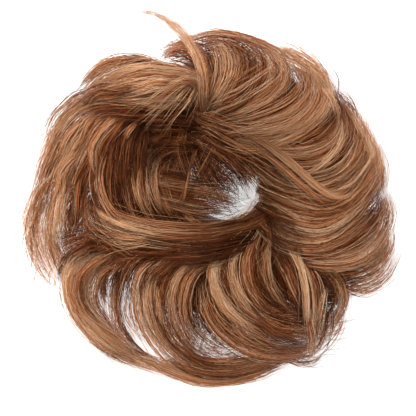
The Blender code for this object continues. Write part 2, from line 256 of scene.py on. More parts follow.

# Colours of the hair by tone, from the dark under-hair to the palest fibres; the darkest stops are painted
# shade, in the under-hair seen between the locks and in the darkest rows of the locks' tables
PALETTE = (
    (0.00, (0.009, 0.003, 0.0015)),
    (0.12, (0.030, 0.009, 0.004)),
    (0.30, (0.128, 0.035, 0.012)),
    (0.48, (0.345, 0.103, 0.032)),
    (0.66, (0.595, 0.226, 0.083)),
    (0.84, (0.752, 0.473, 0.258)),
    (1.00, (0.880, 0.712, 0.510)),
)

# Painted shade and light on the hair: darker near the hole and the roots, where shade falls, and lighter
# towards the tips far from it, where they catch the light, and how much more green and blue lose than red
# in the painted shade
PAINTED_SHADE_AND_LIGHT = ((0.00, 0.18), (0.20, 0.46), (0.40, 0.77), (0.60, 0.98), (0.80, 1.12), (1.00, 1.12))
PAINTED_SHADE_GREEN_LOSS = 1.15
PAINTED_SHADE_BLUE_LOSS = 1.27

# The fibres' gloss
FIBRE_IOR = 1.5
FIBRE_SPECULAR = 0.18
FIBRE_SPECULAR_TINT = (1.0, 0.78, 0.58, 1.0)

# Streaks along the hair and slow changes of its hue: the scale of each on the map, their strength, and how
# the cloudy pattern behind them is read
STREAK_SCALE = (160.0, 8.0, 1.0)
STREAK_SHADES = (0.68, 1.36)
HUE_SCALE = (90.0, 1.6, 1.0)
HUE_SHIFT = (31.0, 7.0, 3.0)
HUE_TINTS = ((0.35, (1.10, 0.86, 0.78)), (0.65, (0.96, 1.06, 1.06)))
NOISE_RANGE = (0.3, 0.7)
NOISE_DETAIL = 2.0

# The woven cover of the band: the scale and detail of its threads, their shades, its roughness, and how many
# sides its section has
THREAD_SCALE = 1800.0
THREAD_DETAIL = 3.0
THREAD_SHADES = (0.45, 1.55)
COVER_ROUGHNESS = 0.85
BAND_SIDES = 14

# The stage: the floor's width, depth under the hair and finish, and for each lamp its name, the setting
# with its power, its width and its place
FLOOR_WIDTH = 4.0
FLOOR_DROP = -0.0002
FLOOR_ROUGHNESS = 0.9
FLOOR_SPECULAR = 0.1
WHITE = (1.0, 1.0, 1.0, 1.0)
LAMPS = (
    ("key_light", "key_power", 0.4, (-0.36, 0.42, 0.80)),
    ("top_light", "top_power", 0.3, (0.01, 0.01, 1.6)),
)

# The locks of each bundle: a name, the widths at the root, middle and tip in millimetres, a tone from dark
# (0) to blond (1), how thick with strands it is, its lifts from root to tip, and the points of its route from
# root to tip, each the pixels across and down the photo. Rows in the darkest tones that lie in hollows,
# pockets and gaps between locks, or under the band, are painted shade.
LOCKS = {}
LOCKS["upper_left_swoop"] = (
    ("swoop crest", (5, 6.3, 5.7), 0.4, 1, (0.75, 1.05, 0.9, 1.2, 1.15, 1, 0.8, 0.6),
     (205, 116, 202, 97, 196, 82, 172, 74, 152, 69, 132, 66, 115, 68, 102, 74, 92, 84, 84, 94, 76, 104)),
    ("swoop top edge", (3, 5, 4), 0.62, 1, (0.9, 1.12, 1.05, 0.9, 0.7),
     (170, 69, 152, 65, 132, 61, 115, 62, 101, 67, 92, 75, 86, 85, 77, 96)),
    ("swoop gold", (4, 5.4, 4.8), 0.78, 1, (0.75, 1.05, 0.9, 1.32, 1.25, 1.05, 0.85, 0.65),
     (205, 116, 202, 97, 197, 82, 172, 74, 150, 71, 130, 73, 112, 79, 98, 87, 86, 96, 75, 106)),
    ("swoop middle", (4, 5.9, 4.8), 0.52, 1, (0.75, 1.05, 0.9, 1.28, 1.2, 1, 0.82, 0.6),
     (205, 116, 202, 97, 196, 82, 170, 76, 148, 75, 128, 78, 110, 84, 96, 91, 84, 98, 72, 109)),
    ("swoop pale streak", (4, 5.4, 4.8), 0.88, 1, (0.75, 1.05, 0.9, 1.28, 1.2, 1, 0.8, 0.6),
     (205, 116, 202, 97, 196, 84, 168, 80, 146, 80, 126, 83, 108, 88, 94, 94, 81, 101, 69, 114)),
    ("swoop red lock", (4, 5.4, 5.7), 0.62, 1, (0.75, 1.05, 0.9, 1.2, 1.1, 0.95, 0.78, 0.58),
     (205, 116, 202, 97, 195, 92, 168, 90, 142, 88, 120, 90, 100, 94, 84, 101, 70, 113)),
    ("swoop red edge", (4, 5.4, 5.7), 0.78, 1, (0.85, 1.15, 1.05, 0.9, 0.75, 0.55),
     (192, 100, 165, 97, 140, 95, 118, 96, 98, 98, 82, 104, 68, 116)),
    ("swoop lower lock", (4, 5, 5), 0.78, 1, (0.8, 1.08, 1, 0.88, 0.7, 0.5),
     (186, 106, 160, 104, 138, 102, 116, 101, 96, 102, 80, 107, 66, 119)),
    # Painted shade: a dark row along the swoop's lower edge, where its shadow falls
    ("swoop dark edge", (5, 6, 4), 0.14, 1, (0.8, 1.02, 1, 0.88, 0.62),
     (188, 117, 162, 115, 136, 113, 112, 111, 92, 111, 78, 116)),
    ("swoop under", (10.5, 14, 7), 0.34, 0.4, (0.6, 0.6, 0.5, 0.4, 0.3),
     (190, 92, 165, 86, 140, 84, 115, 86, 95, 94, 78, 106)),
    ("stray lock", (2.6, 3.4, 1), 1, 1.5, (0.9, 1.2, 1.3, 1.28, 1.2, 1.1, 0.95, 0.8, 0.65),
     (204, 112, 204, 97, 202, 82, 199, 67, 194, 53, 187, 41, 178, 31, 168, 22, 157, 16, 144, 11, 131, 11,
      119, 15)),
    ("fan lock", (1.2, 4.5, 8), 0.95, 0.14, (0.75, 1.05, 1.2, 1.5, 1.42, 1.25, 1.05),
     (205, 116, 202, 97, 197, 77, 181, 84, 165, 94, 149, 105, 134, 117, 122, 132)),
    # Painted shade: the hollow rows, in the darkest tones, stand for the shade in the hollow below the swoop
    ("hollow left", (9, 11, 9), 0.14, 1, (0.6, 0.74, 0.74, 0.7), (134, 112, 142, 124, 144, 138, 140, 152)),
    ("hollow middle", (9, 11, 9), 0.13, 1, (0.6, 0.72, 0.74, 0.72),
     (156, 106, 166, 118, 168, 134, 160, 150)),
    ("hollow right", (9, 11, 9), 0.13, 1, (0.6, 0.7, 0.74, 0.72), (178, 106, 186, 120, 189, 134, 185, 150)),
    ("hollow across", (9, 10, 8), 0.14, 1, (0.6, 0.74, 0.76, 0.72),
     (197, 130, 180, 128, 162, 128, 146, 134, 134, 144)),
    ("hollow arc", (3, 4, 3), 0.32, 1, (0.6, 0.8, 0.86, 0.82),
     (194, 134, 180, 132, 165, 136, 153, 146, 147, 158)),
    ("knot red strand", (1.5, 2, 1.2), 0.48, 1, (1, 1, 0.95, 0.9),
     (170, 116, 179, 124, 187, 133, 194, 143)),
    ("swoop thin pale", (1.2, 2, 1.6), 0.99, 1, (0.75, 1.05, 0.95, 1.36, 1.3, 1.1, 0.9),
     (205, 116, 202, 97, 194, 76, 170, 69, 146, 68, 124, 73, 106, 82, 90, 92)),
    ("swoop dark line", (2, 2.4, 2), 0.2, 1, (0.95, 1.27, 1.22, 1),
     (184, 88, 160, 86, 136, 86, 114, 90, 96, 97)),
    # Painted shade in the hollow
    ("hollow low", (5, 8, 6), 0.14, 1, (0.6, 0.76, 0.8, 0.76),
     (196, 150, 180, 144, 164, 143, 150, 150, 144, 164)),
    ("swoop pale patch", (3, 8, 4), 1, 1.8, (1.3, 1.46, 1.4, 1.15), (178, 84, 160, 83, 142, 86, 122, 92)),
    ("swoop end fill", (6, 10, 9), 0.28, 1, (0.7, 0.82, 0.72, 0.6),
     (150, 104, 122, 104, 99, 106, 81, 112, 66, 123)),
    ("swoop end red", (3, 7, 6), 0.34, 1, (1.25, 1.2, 1.05, 0.85), (126, 95, 108, 96, 93, 99, 80, 105)),
    ("swoop end shade", (3, 6, 5), 0.3, 1, (1.2, 1.12, 1, 0.8), (112, 86, 98, 90, 88, 95, 78, 102)),
    ("crest fill", (5, 8, 7), 0.38, 1.3, (0.7, 0.7, 0.62, 0.55, 0.5, 0.45),
     (170, 72, 147, 67, 125, 67, 108, 72, 97, 80, 89, 90, 79, 102)),
    # Painted shade in the hollow: this row and the next
    ("hollow crescent", (4, 7, 5), 0.13, 1.2, (0.9, 0.98, 1, 1), (194, 147, 180, 145, 166, 148, 155, 157)),
    ("hollow top", (5, 8, 6), 0.2, 0.9, (0.9, 0.95, 1, 1, 0.95),
     (193, 123, 177, 121, 160, 119, 145, 118, 132, 121)),
    ("crest outer edge", (2, 3, 2), 0.76, 1, (0.5, 0.52, 0.5, 0.45, 0.4, 0.35),
     (162, 65, 142, 63, 122, 61.5, 106, 62.5, 96, 67.5, 90.5, 76, 86, 87, 78, 96)),
    ("swoop red upper", (3, 6, 4), 0.82, 1.1, (1.05, 1.14, 1.1, 0.95, 0.8),
     (168, 90, 152, 97, 134, 101, 114, 103, 94, 101)),
)
LOCKS["inner_left_swirl"] = (
    ("swirl inner", (3, 5.4, 5.7), 0.58, 1, (0.3, 0.52, 0.86, 0.95, 0.9),
     (192, 142, 176, 148, 166, 162, 163, 180, 167, 200, 178, 218, 192, 230)),
    ("swirl gold", (3, 4, 4), 0.66, 1, (0.3, 0.52, 0.86, 1, 0.95),
     (190, 136, 172, 141, 158, 154, 152, 172, 154, 192, 162, 210, 174, 226)),
    ("swirl middle", (4, 5.4, 5.7), 0.52, 1, (0.3, 0.52, 0.86, 1, 0.95),
     (186, 134, 164, 138, 150, 152, 144, 172, 146, 194, 155, 214, 168, 230)),
    ("swirl red", (4, 5.4, 5.7), 0.48, 1, (0.3, 0.52, 0.86, 0.98, 0.92),
     (176, 130, 154, 136, 141, 152, 136, 174, 140, 198, 150, 218, 164, 234)),
    ("swirl outer", (4, 6, 5), 0.3, 1, (0.4, 0.62, 0.86, 0.95, 0.88),
     (156, 134, 139, 146, 129, 164, 126, 186, 132, 210, 146, 232)),
    ("swirl rim", (6, 7.2, 6.6), 0.22, 1, (0.55, 0.8, 0.88, 0.9, 0.85),
     (146, 122, 126, 140, 114, 163, 112, 190, 119, 214, 134, 234)),
    ("swirl pale rim", (3, 5, 6), 0.56, 1, (0.6, 0.88, 0.95, 0.98, 0.95),
     (128, 128, 108, 150, 100, 176, 103, 200, 116, 218, 140, 232)),
    ("swirl thin gold", (1, 1.8, 1.6), 0.74, 1, (0.8, 1.05, 1.1, 1),
     (152, 150, 141, 168, 139, 190, 146, 212, 158, 228)),
    ("bright band gold", (3, 4.5, 6), 0.66, 1, (0.85, 1, 1.1, 1.12, 1.02, 0.8, 0.5),
     (266, 209, 250, 221, 226, 228, 198, 231, 170, 230, 142, 227, 118, 221, 96, 215, 74, 211, 60, 214)),
    ("bright band", (3, 4.5, 7), 0.54, 1, (0.9, 1.06, 1.12, 1.1, 1, 0.75, 0.5),
     (272, 211, 254, 225, 230, 232, 202, 235, 172, 234, 144, 232, 118, 228, 94, 223, 70, 221, 56, 226)),
    ("bright band upper", (3, 5, 6), 0.5, 1, (0.85, 1, 1.06, 1.04, 1, 0.85, 0.5),
     (262, 210, 248, 221, 228, 228, 206, 231, 178, 230, 150, 226, 126, 220, 105, 208, 92, 192, 83, 187)),
    ("band fan", (4, 4.5, 6), 0.28, 1, (0.88, 0.94, 0.96, 0.92, 0.7, 0.5),
     (190, 240, 162, 241, 136, 240, 110, 235, 86, 228, 66, 223, 52, 226)),
    # Painted shade: band fan low, band shadow and crossing hair are darkened for the shadow under the band
    ("band fan low", (4, 4.5, 6), 0.22, 1, (0.8, 0.86, 0.88, 0.82, 0.6, 0.5),
     (196, 249, 166, 251, 140, 252, 114, 249, 90, 243, 70, 238, 56, 241)),
    ("band shadow", (4, 5.4, 5.7), 0.2, 1, (0.8, 0.9, 0.9, 0.85),
     (146, 243, 176, 244, 206, 244, 232, 241, 250, 235)),
    ("crossing hair", (4, 7, 6), 0.15, 1, (0.6, 0.8, 0.86, 0.85, 0.82),
     (120, 250, 148, 255, 178, 257, 206, 254, 232, 247, 250, 240)),
    ("knot down", (4, 7.2, 8.5), 0.22, 1, (0.62, 0.72, 0.72, 0.65),
     (194, 146, 196, 160, 199, 177, 205, 191, 216, 202)),
    ("pale thin lock", (1.4, 2, 2.4), 0.8, 1, (0.9, 1.08, 1.08, 1.02, 0.92),
     (197, 148, 194, 162, 189, 180, 184, 198, 178, 216)),
    ("hole wedge", (9, 10, 7), 0.42, 2.2, (0.85, 0.86, 0.82, 0.78),
     (158, 182, 180, 189, 202, 195, 222, 200, 246, 206)),
    ("hole wedge low", (7, 7.2, 4.8), 0.54, 2.9, (0.85, 0.88, 0.82, 0.76),
     (158, 196, 178, 203, 196, 207, 214, 209, 232, 208)),
    ("hole edge", (4, 4.5, 4), 0.48, 1, (0.6, 0.8, 0.85, 0.88, 0.85),
     (198, 142, 182, 156, 174, 178, 177, 202, 192, 222, 216, 232, 242, 230, 264, 218)),
    ("swirl pale line", (1, 1.6, 1.6), 0.78, 1, (0.3, 0.52, 0.86, 1.08, 1),
     (184, 140, 168, 148, 158, 162, 155, 180, 159, 200, 168, 218)),
    ("swirl pale line 2", (1, 1.6, 1.6), 0.74, 1, (0.5, 0.8, 1.02, 1.05, 1),
     (160, 132, 144, 144, 134, 162, 132, 184, 138, 206, 150, 226)),
    ("band gold strands", (2, 2.5, 2), 0.9, 1, (1.1, 1.15, 1.12, 0.9, 0.5),
     (162, 234, 136, 230, 114, 222, 97, 212, 84, 200, 74, 197)),
    ("left corner fill", (8, 12, 11), 0.28, 1.5, (0.75, 0.7, 0.62, 0.5),
     (106, 234, 92, 238, 77, 244, 60, 254)),
    ("band left gold", (3, 5, 4), 0.8, 1, (0.98, 1.06, 1.06, 0.95),
     (162, 239, 142, 242, 122, 241, 103, 233)),
    # Painted shade in the corner between the fall and the loops
    ("corner shadow", (4, 6, 4), 0.15, 1.3, (0.9, 0.95, 0.85, 0.6), (93, 236, 83, 246, 73, 255, 63, 265)),
    ("hole mesh left", (2, 4, 2), 0.3, 0.6, (0.5, 0.4, 0.34, 0.3),
     (196, 196, 210, 201, 226, 204, 240, 204)),
)
LOCKS["lower_right_curls"] = (
    ("bright crossing lock", (3, 4, 1.5), 0.78, 1, (1, 1.25, 1.36, 1.4, 1.4, 1.38, 1.3),
     (246, 136, 261, 145, 276, 154, 290, 164, 303, 175, 316, 187, 329, 196, 342, 200, 354, 197, 364, 187)),
    ("crossing lock edge", (2, 3, 1.2), 0.5, 1, (0.95, 1.2, 1.3, 1.34, 1.34, 1.3),
     (243, 142, 258, 151, 273, 162, 288, 175, 302, 188, 316, 199, 332, 206, 346, 205)),
    ("curl 1", (5, 5.4, 3.8), 0.54, 1, (0.7, 1.1, 1.18, 1.1, 0.9, 0.7),
     (260, 188, 285, 198, 303, 205, 322, 209, 341, 205, 357, 193, 367, 178, 373, 162, 372, 146)),
    ("curl 2", (5, 5.4, 3.8), 0.62, 1, (0.7, 1.08, 1.15, 1.05, 0.85, 0.65),
     (262, 202, 288, 211, 314, 217, 338, 213, 356, 202, 369, 186, 377, 169, 378, 152)),
    ("curl 3", (5, 5.4, 3.8), 0.62, 1, (0.7, 1.1, 1.18, 1.1, 0.9, 0.65),
     (262, 212, 290, 223, 315, 229, 335, 225, 351, 212, 362, 198, 372, 180, 379, 162)),
    ("curl 4", (5, 5.4, 3.8), 0.68, 1, (0.75, 1.05, 1.14, 1.02, 0.85, 0.6),
     (262, 224, 290, 237, 318, 241, 338, 234, 353, 221, 364, 206, 374, 192, 381, 176)),
    ("curl 5", (5, 5.9, 4.3), 0.5, 1, (0.75, 1.02, 1.08, 0.95, 0.75, 0.5),
     (260, 234, 280, 245, 302, 251, 326, 249, 347, 240, 364, 226, 377, 210, 384, 194, 383, 178)),
    ("curl 6", (5, 6.3, 4.3), 0.66, 1, (0.72, 0.95, 1, 0.88, 0.68, 0.45),
     (262, 244, 284, 253, 306, 259, 330, 261, 352, 257, 370, 245, 381, 230, 385, 213, 382, 196)),
    ("pale lower edge", (3, 4.5, 3), 0.76, 1, (0.7, 0.88, 0.88, 0.75, 0.5),
     (276, 252, 300, 259, 325, 265, 350, 264, 368, 256, 380, 242, 385, 226)),
    ("dark pocket", (5, 6.3, 3.8), 0.26, 1.4, (0.7, 0.78, 0.72, 0.6),
     (340, 244, 358, 233, 374, 218, 383, 203, 384, 188)),
    ("dark under edge", (6, 6, 4), 0.4, 1, (0.6, 0.62, 0.55, 0.4, 0.28),
     (285, 255, 312, 266, 338, 271, 360, 268, 376, 257, 385, 240)),
    ("thin lower hair", (3, 7, 6), 0.86, 1.1, (0.55, 0.5, 0.4, 0.32, 0.25),
     (328, 268, 346, 272, 366, 270, 380, 260, 389, 245, 391, 232)),
    ("faint lower hair", (4, 10, 8), 0.74, 1.3, (0.4, 0.32, 0.25, 0.18, 0.15),
     (325, 268, 348, 278, 366, 279, 380, 269, 389, 254, 392, 240)),
    ("right rim fill", (5, 8, 6), 0.66, 1, (0.55, 0.5, 0.45, 0.42),
     (363, 254, 379, 240, 386, 222, 385, 204, 380, 188)),
    ("right rim fill 2", (5, 8, 6), 0.56, 1, (0.65, 0.6, 0.55, 0.5),
     (347, 250, 367, 236, 378, 218, 380, 200, 377, 184)),
    ("dark streak", (1.5, 2.2, 1.8), 0.18, 1, (0.75, 1.12, 1.15, 1),
     (264, 216, 290, 227, 316, 234, 338, 230, 354, 217)),
    ("pale line", (1, 1.8, 1.4), 0.94, 1, (0.75, 1.14, 1.16, 1, 0.85),
     (270, 206, 294, 218, 316, 224, 336, 220, 352, 208)),
    ("pale line 2", (0.8, 1.8, 1.4), 0.94, 1, (0.8, 1.1, 1.12, 1, 0.85),
     (274, 230, 300, 238, 324, 238, 345, 228, 359, 213)),
    ("pale line 3", (0.8, 1.8, 1.4), 0.9, 1, (0.8, 1.02, 1.04, 0.9, 0.75),
     (280, 248, 308, 256, 334, 257, 357, 250, 375, 236)),
    ("dark streak 2", (1.5, 2.2, 1.8), 0.18, 1, (0.75, 1.05, 1.06, 0.95),
     (268, 240, 296, 250, 324, 252, 346, 243)),
    ("right edge fill", (4, 7, 6), 0.64, 1, (0.42, 0.36, 0.33, 0.33),
     (350, 264, 371, 259, 385, 247, 390, 231)),
    ("right edge fill 2", (4, 7, 5), 0.62, 1.5, (0.4, 0.36, 0.34, 0.34),
     (370, 266, 382, 253, 388, 238, 388, 220)),
    # Painted shade: the root dark rows, a to e, stand for the shade among the curls' roots
    ("root dark a", (2, 4, 2.4), 0.15, 1, (0.85, 1.14, 1.2, 1.12),
     (257, 206, 272, 214, 292, 222, 312, 228)),
    ("root dark b", (2, 4, 2.4), 0.15, 1, (0.85, 1.1, 1.14, 1.06),
     (258, 224, 272, 234, 290, 243, 310, 248)),
    ("root dark c", (2, 4, 3), 0.15, 1, (0.8, 1.02, 1.02, 0.92), (262, 240, 272, 252, 284, 261, 300, 267)),
    ("root dark d", (2, 5, 3), 0.13, 1.3, (0.9, 1.2, 1.25, 1.12), (262, 212, 268, 228, 271, 245, 271, 262)),
    ("root dark e", (2.4, 5, 3), 0.13, 1.1, (0.9, 1.25, 1.28, 1.15),
     (264, 209, 281, 222, 298, 232, 313, 237)),
    ("lower right veil", (5, 9, 6), 0.8, 0.45, (0.5, 0.4, 0.3, 0.22),
     (332, 266, 350, 278, 368, 284, 386, 278)),
)
LOCKS["right_curls"] = (
    ("curl 1", (5, 5.4, 3.8), 0.74, 1, (0.75, 1.1, 1.12, 1, 0.8, 0.6),
     (240, 146, 268, 151, 295, 153, 318, 148, 333, 138, 341, 124, 340, 109, 332, 96)),
    ("curl 1 gold edge", (0.8, 3, 2), 0.9, 1, (0.9, 1.18, 1.2, 1.05, 0.85),
     (290, 176, 306, 172, 322, 162, 333, 151, 341, 138, 344, 124, 342, 110)),
    ("curl 2", (5, 5.4, 3.8), 0.58, 1, (0.75, 1.08, 1.1, 0.98, 0.78, 0.58),
     (250, 156, 275, 162, 300, 166, 322, 160, 338, 148, 347, 133, 348, 117, 341, 103)),
    ("curl 3", (5, 5.4, 3.8), 0.62, 1, (0.75, 1.05, 1.05, 0.95, 0.72, 0.5),
     (256, 168, 290, 180, 320, 181, 340, 171, 352, 156, 359, 140, 358, 124, 350, 109)),
    ("curl 4", (5, 5.4, 3.8), 0.74, 1, (0.75, 1.05, 1.05, 0.92, 0.7, 0.5),
     (262, 178, 300, 190, 330, 187, 350, 174, 363, 157, 367, 141, 362, 125)),
    ("curl 5", (5, 5.4, 3.8), 0.86, 1, (0.8, 1.05, 1.02, 0.88, 0.68, 0.48),
     (280, 192, 318, 199, 342, 192, 360, 178, 371, 160, 373, 144, 367, 129)),
    ("curl 6", (4, 5, 4), 0.88, 1, (0.85, 1.02, 0.98, 0.82, 0.62, 0.45),
     (310, 205, 334, 205, 354, 197, 370, 183, 379, 166, 379, 150, 372, 136)),
    ("pale streak", (0.3, 1.3, 0.7), 0.92, 1, (1, 1.12, 1.1, 0.95),
     (322, 180, 338, 172, 350, 159, 357, 147, 361, 134)),
    ("dark pocket", (5, 5.4, 3.8), 0.22, 1, (0.95, 1.05, 1.02, 0.9),
     (296, 184, 312, 178, 326, 168, 338, 156)),
    ("upper dark pocket", (3, 4.5, 3), 0.48, 1, (0.95, 1.08, 1, 0.75),
     (288, 148, 306, 143, 322, 135, 334, 124, 338, 112)),
    ("rim lock", (5, 6.3, 5.7), 0.9, 1, (0.5, 0.5, 0.48, 0.42, 0.38, 0.35),
     (378, 206, 377, 190, 377, 174, 372, 158, 364, 142, 355, 126, 345, 111, 333, 99, 322, 91)),
    ("rim pale edge", (2, 3, 2.5), 0.88, 1, (0.4, 0.4, 0.38, 0.35),
     (379, 184, 377, 166, 370, 150, 361, 133, 351, 116, 340, 103, 328, 94)),
    ("rim inner lock", (6, 6.3, 4.8), 0.9, 1, (0.7, 0.72, 0.66, 0.5),
     (366, 196, 372, 178, 373, 158, 366, 138, 354, 118, 340, 102)),
    ("corner fill", (6, 8, 6), 0.5, 1, (0.55, 0.55, 0.5, 0.45), (360, 150, 354, 132, 344, 114, 332, 98)),
    ("rim fill", (6, 8, 6), 0.76, 1, (0.6, 0.58, 0.5, 0.45),
     (375, 201, 377, 183, 375, 163, 367, 143, 357, 127)),
    ("curl 3 pale", (0.6, 1.5, 1.2), 0.92, 1, (0.85, 1.12, 1.12, 1, 0.8),
     (286, 172, 312, 174, 335, 166, 350, 151, 357, 134)),
    ("curl 5 pale", (0.6, 1.5, 1.2), 0.94, 1, (0.8, 1.06, 1.02, 0.85, 0.65),
     (318, 194, 344, 188, 362, 174, 373, 156, 374, 138)),
    ("curl 4 dark", (1.2, 2.2, 1.8), 0.18, 1, (0.85, 1.06, 1.06, 0.95, 0.75),
     (286, 184, 314, 187, 338, 180, 355, 166, 363, 150)),
    ("notch fill", (4, 8, 6), 0.52, 1, (0.55, 0.45, 0.38, 0.36), (356, 134, 350, 117, 341, 102, 328, 92)),
    ("notch fill 2", (4, 7, 5), 0.48, 1.4, (0.5, 0.44, 0.4, 0.38), (356, 124, 348, 109, 339, 98, 329, 89)),
    ("hole corner hair", (2, 4, 2), 0.3, 2, (0.6, 0.5, 0.42, 0.34),
     (262, 166, 254, 172, 246, 179, 242, 188)),
    ("right root shadow", (2.4, 5, 3), 0.2, 0.8, (0.95, 1.2, 1.2, 1.1),
     (258, 158, 272, 167, 286, 179, 298, 192)),
    ("notch pale", (2, 3, 2), 0.9, 1.8, (0.9, 1.04, 1, 0.88), (322, 84, 330, 95, 336, 108, 338, 120)),
)
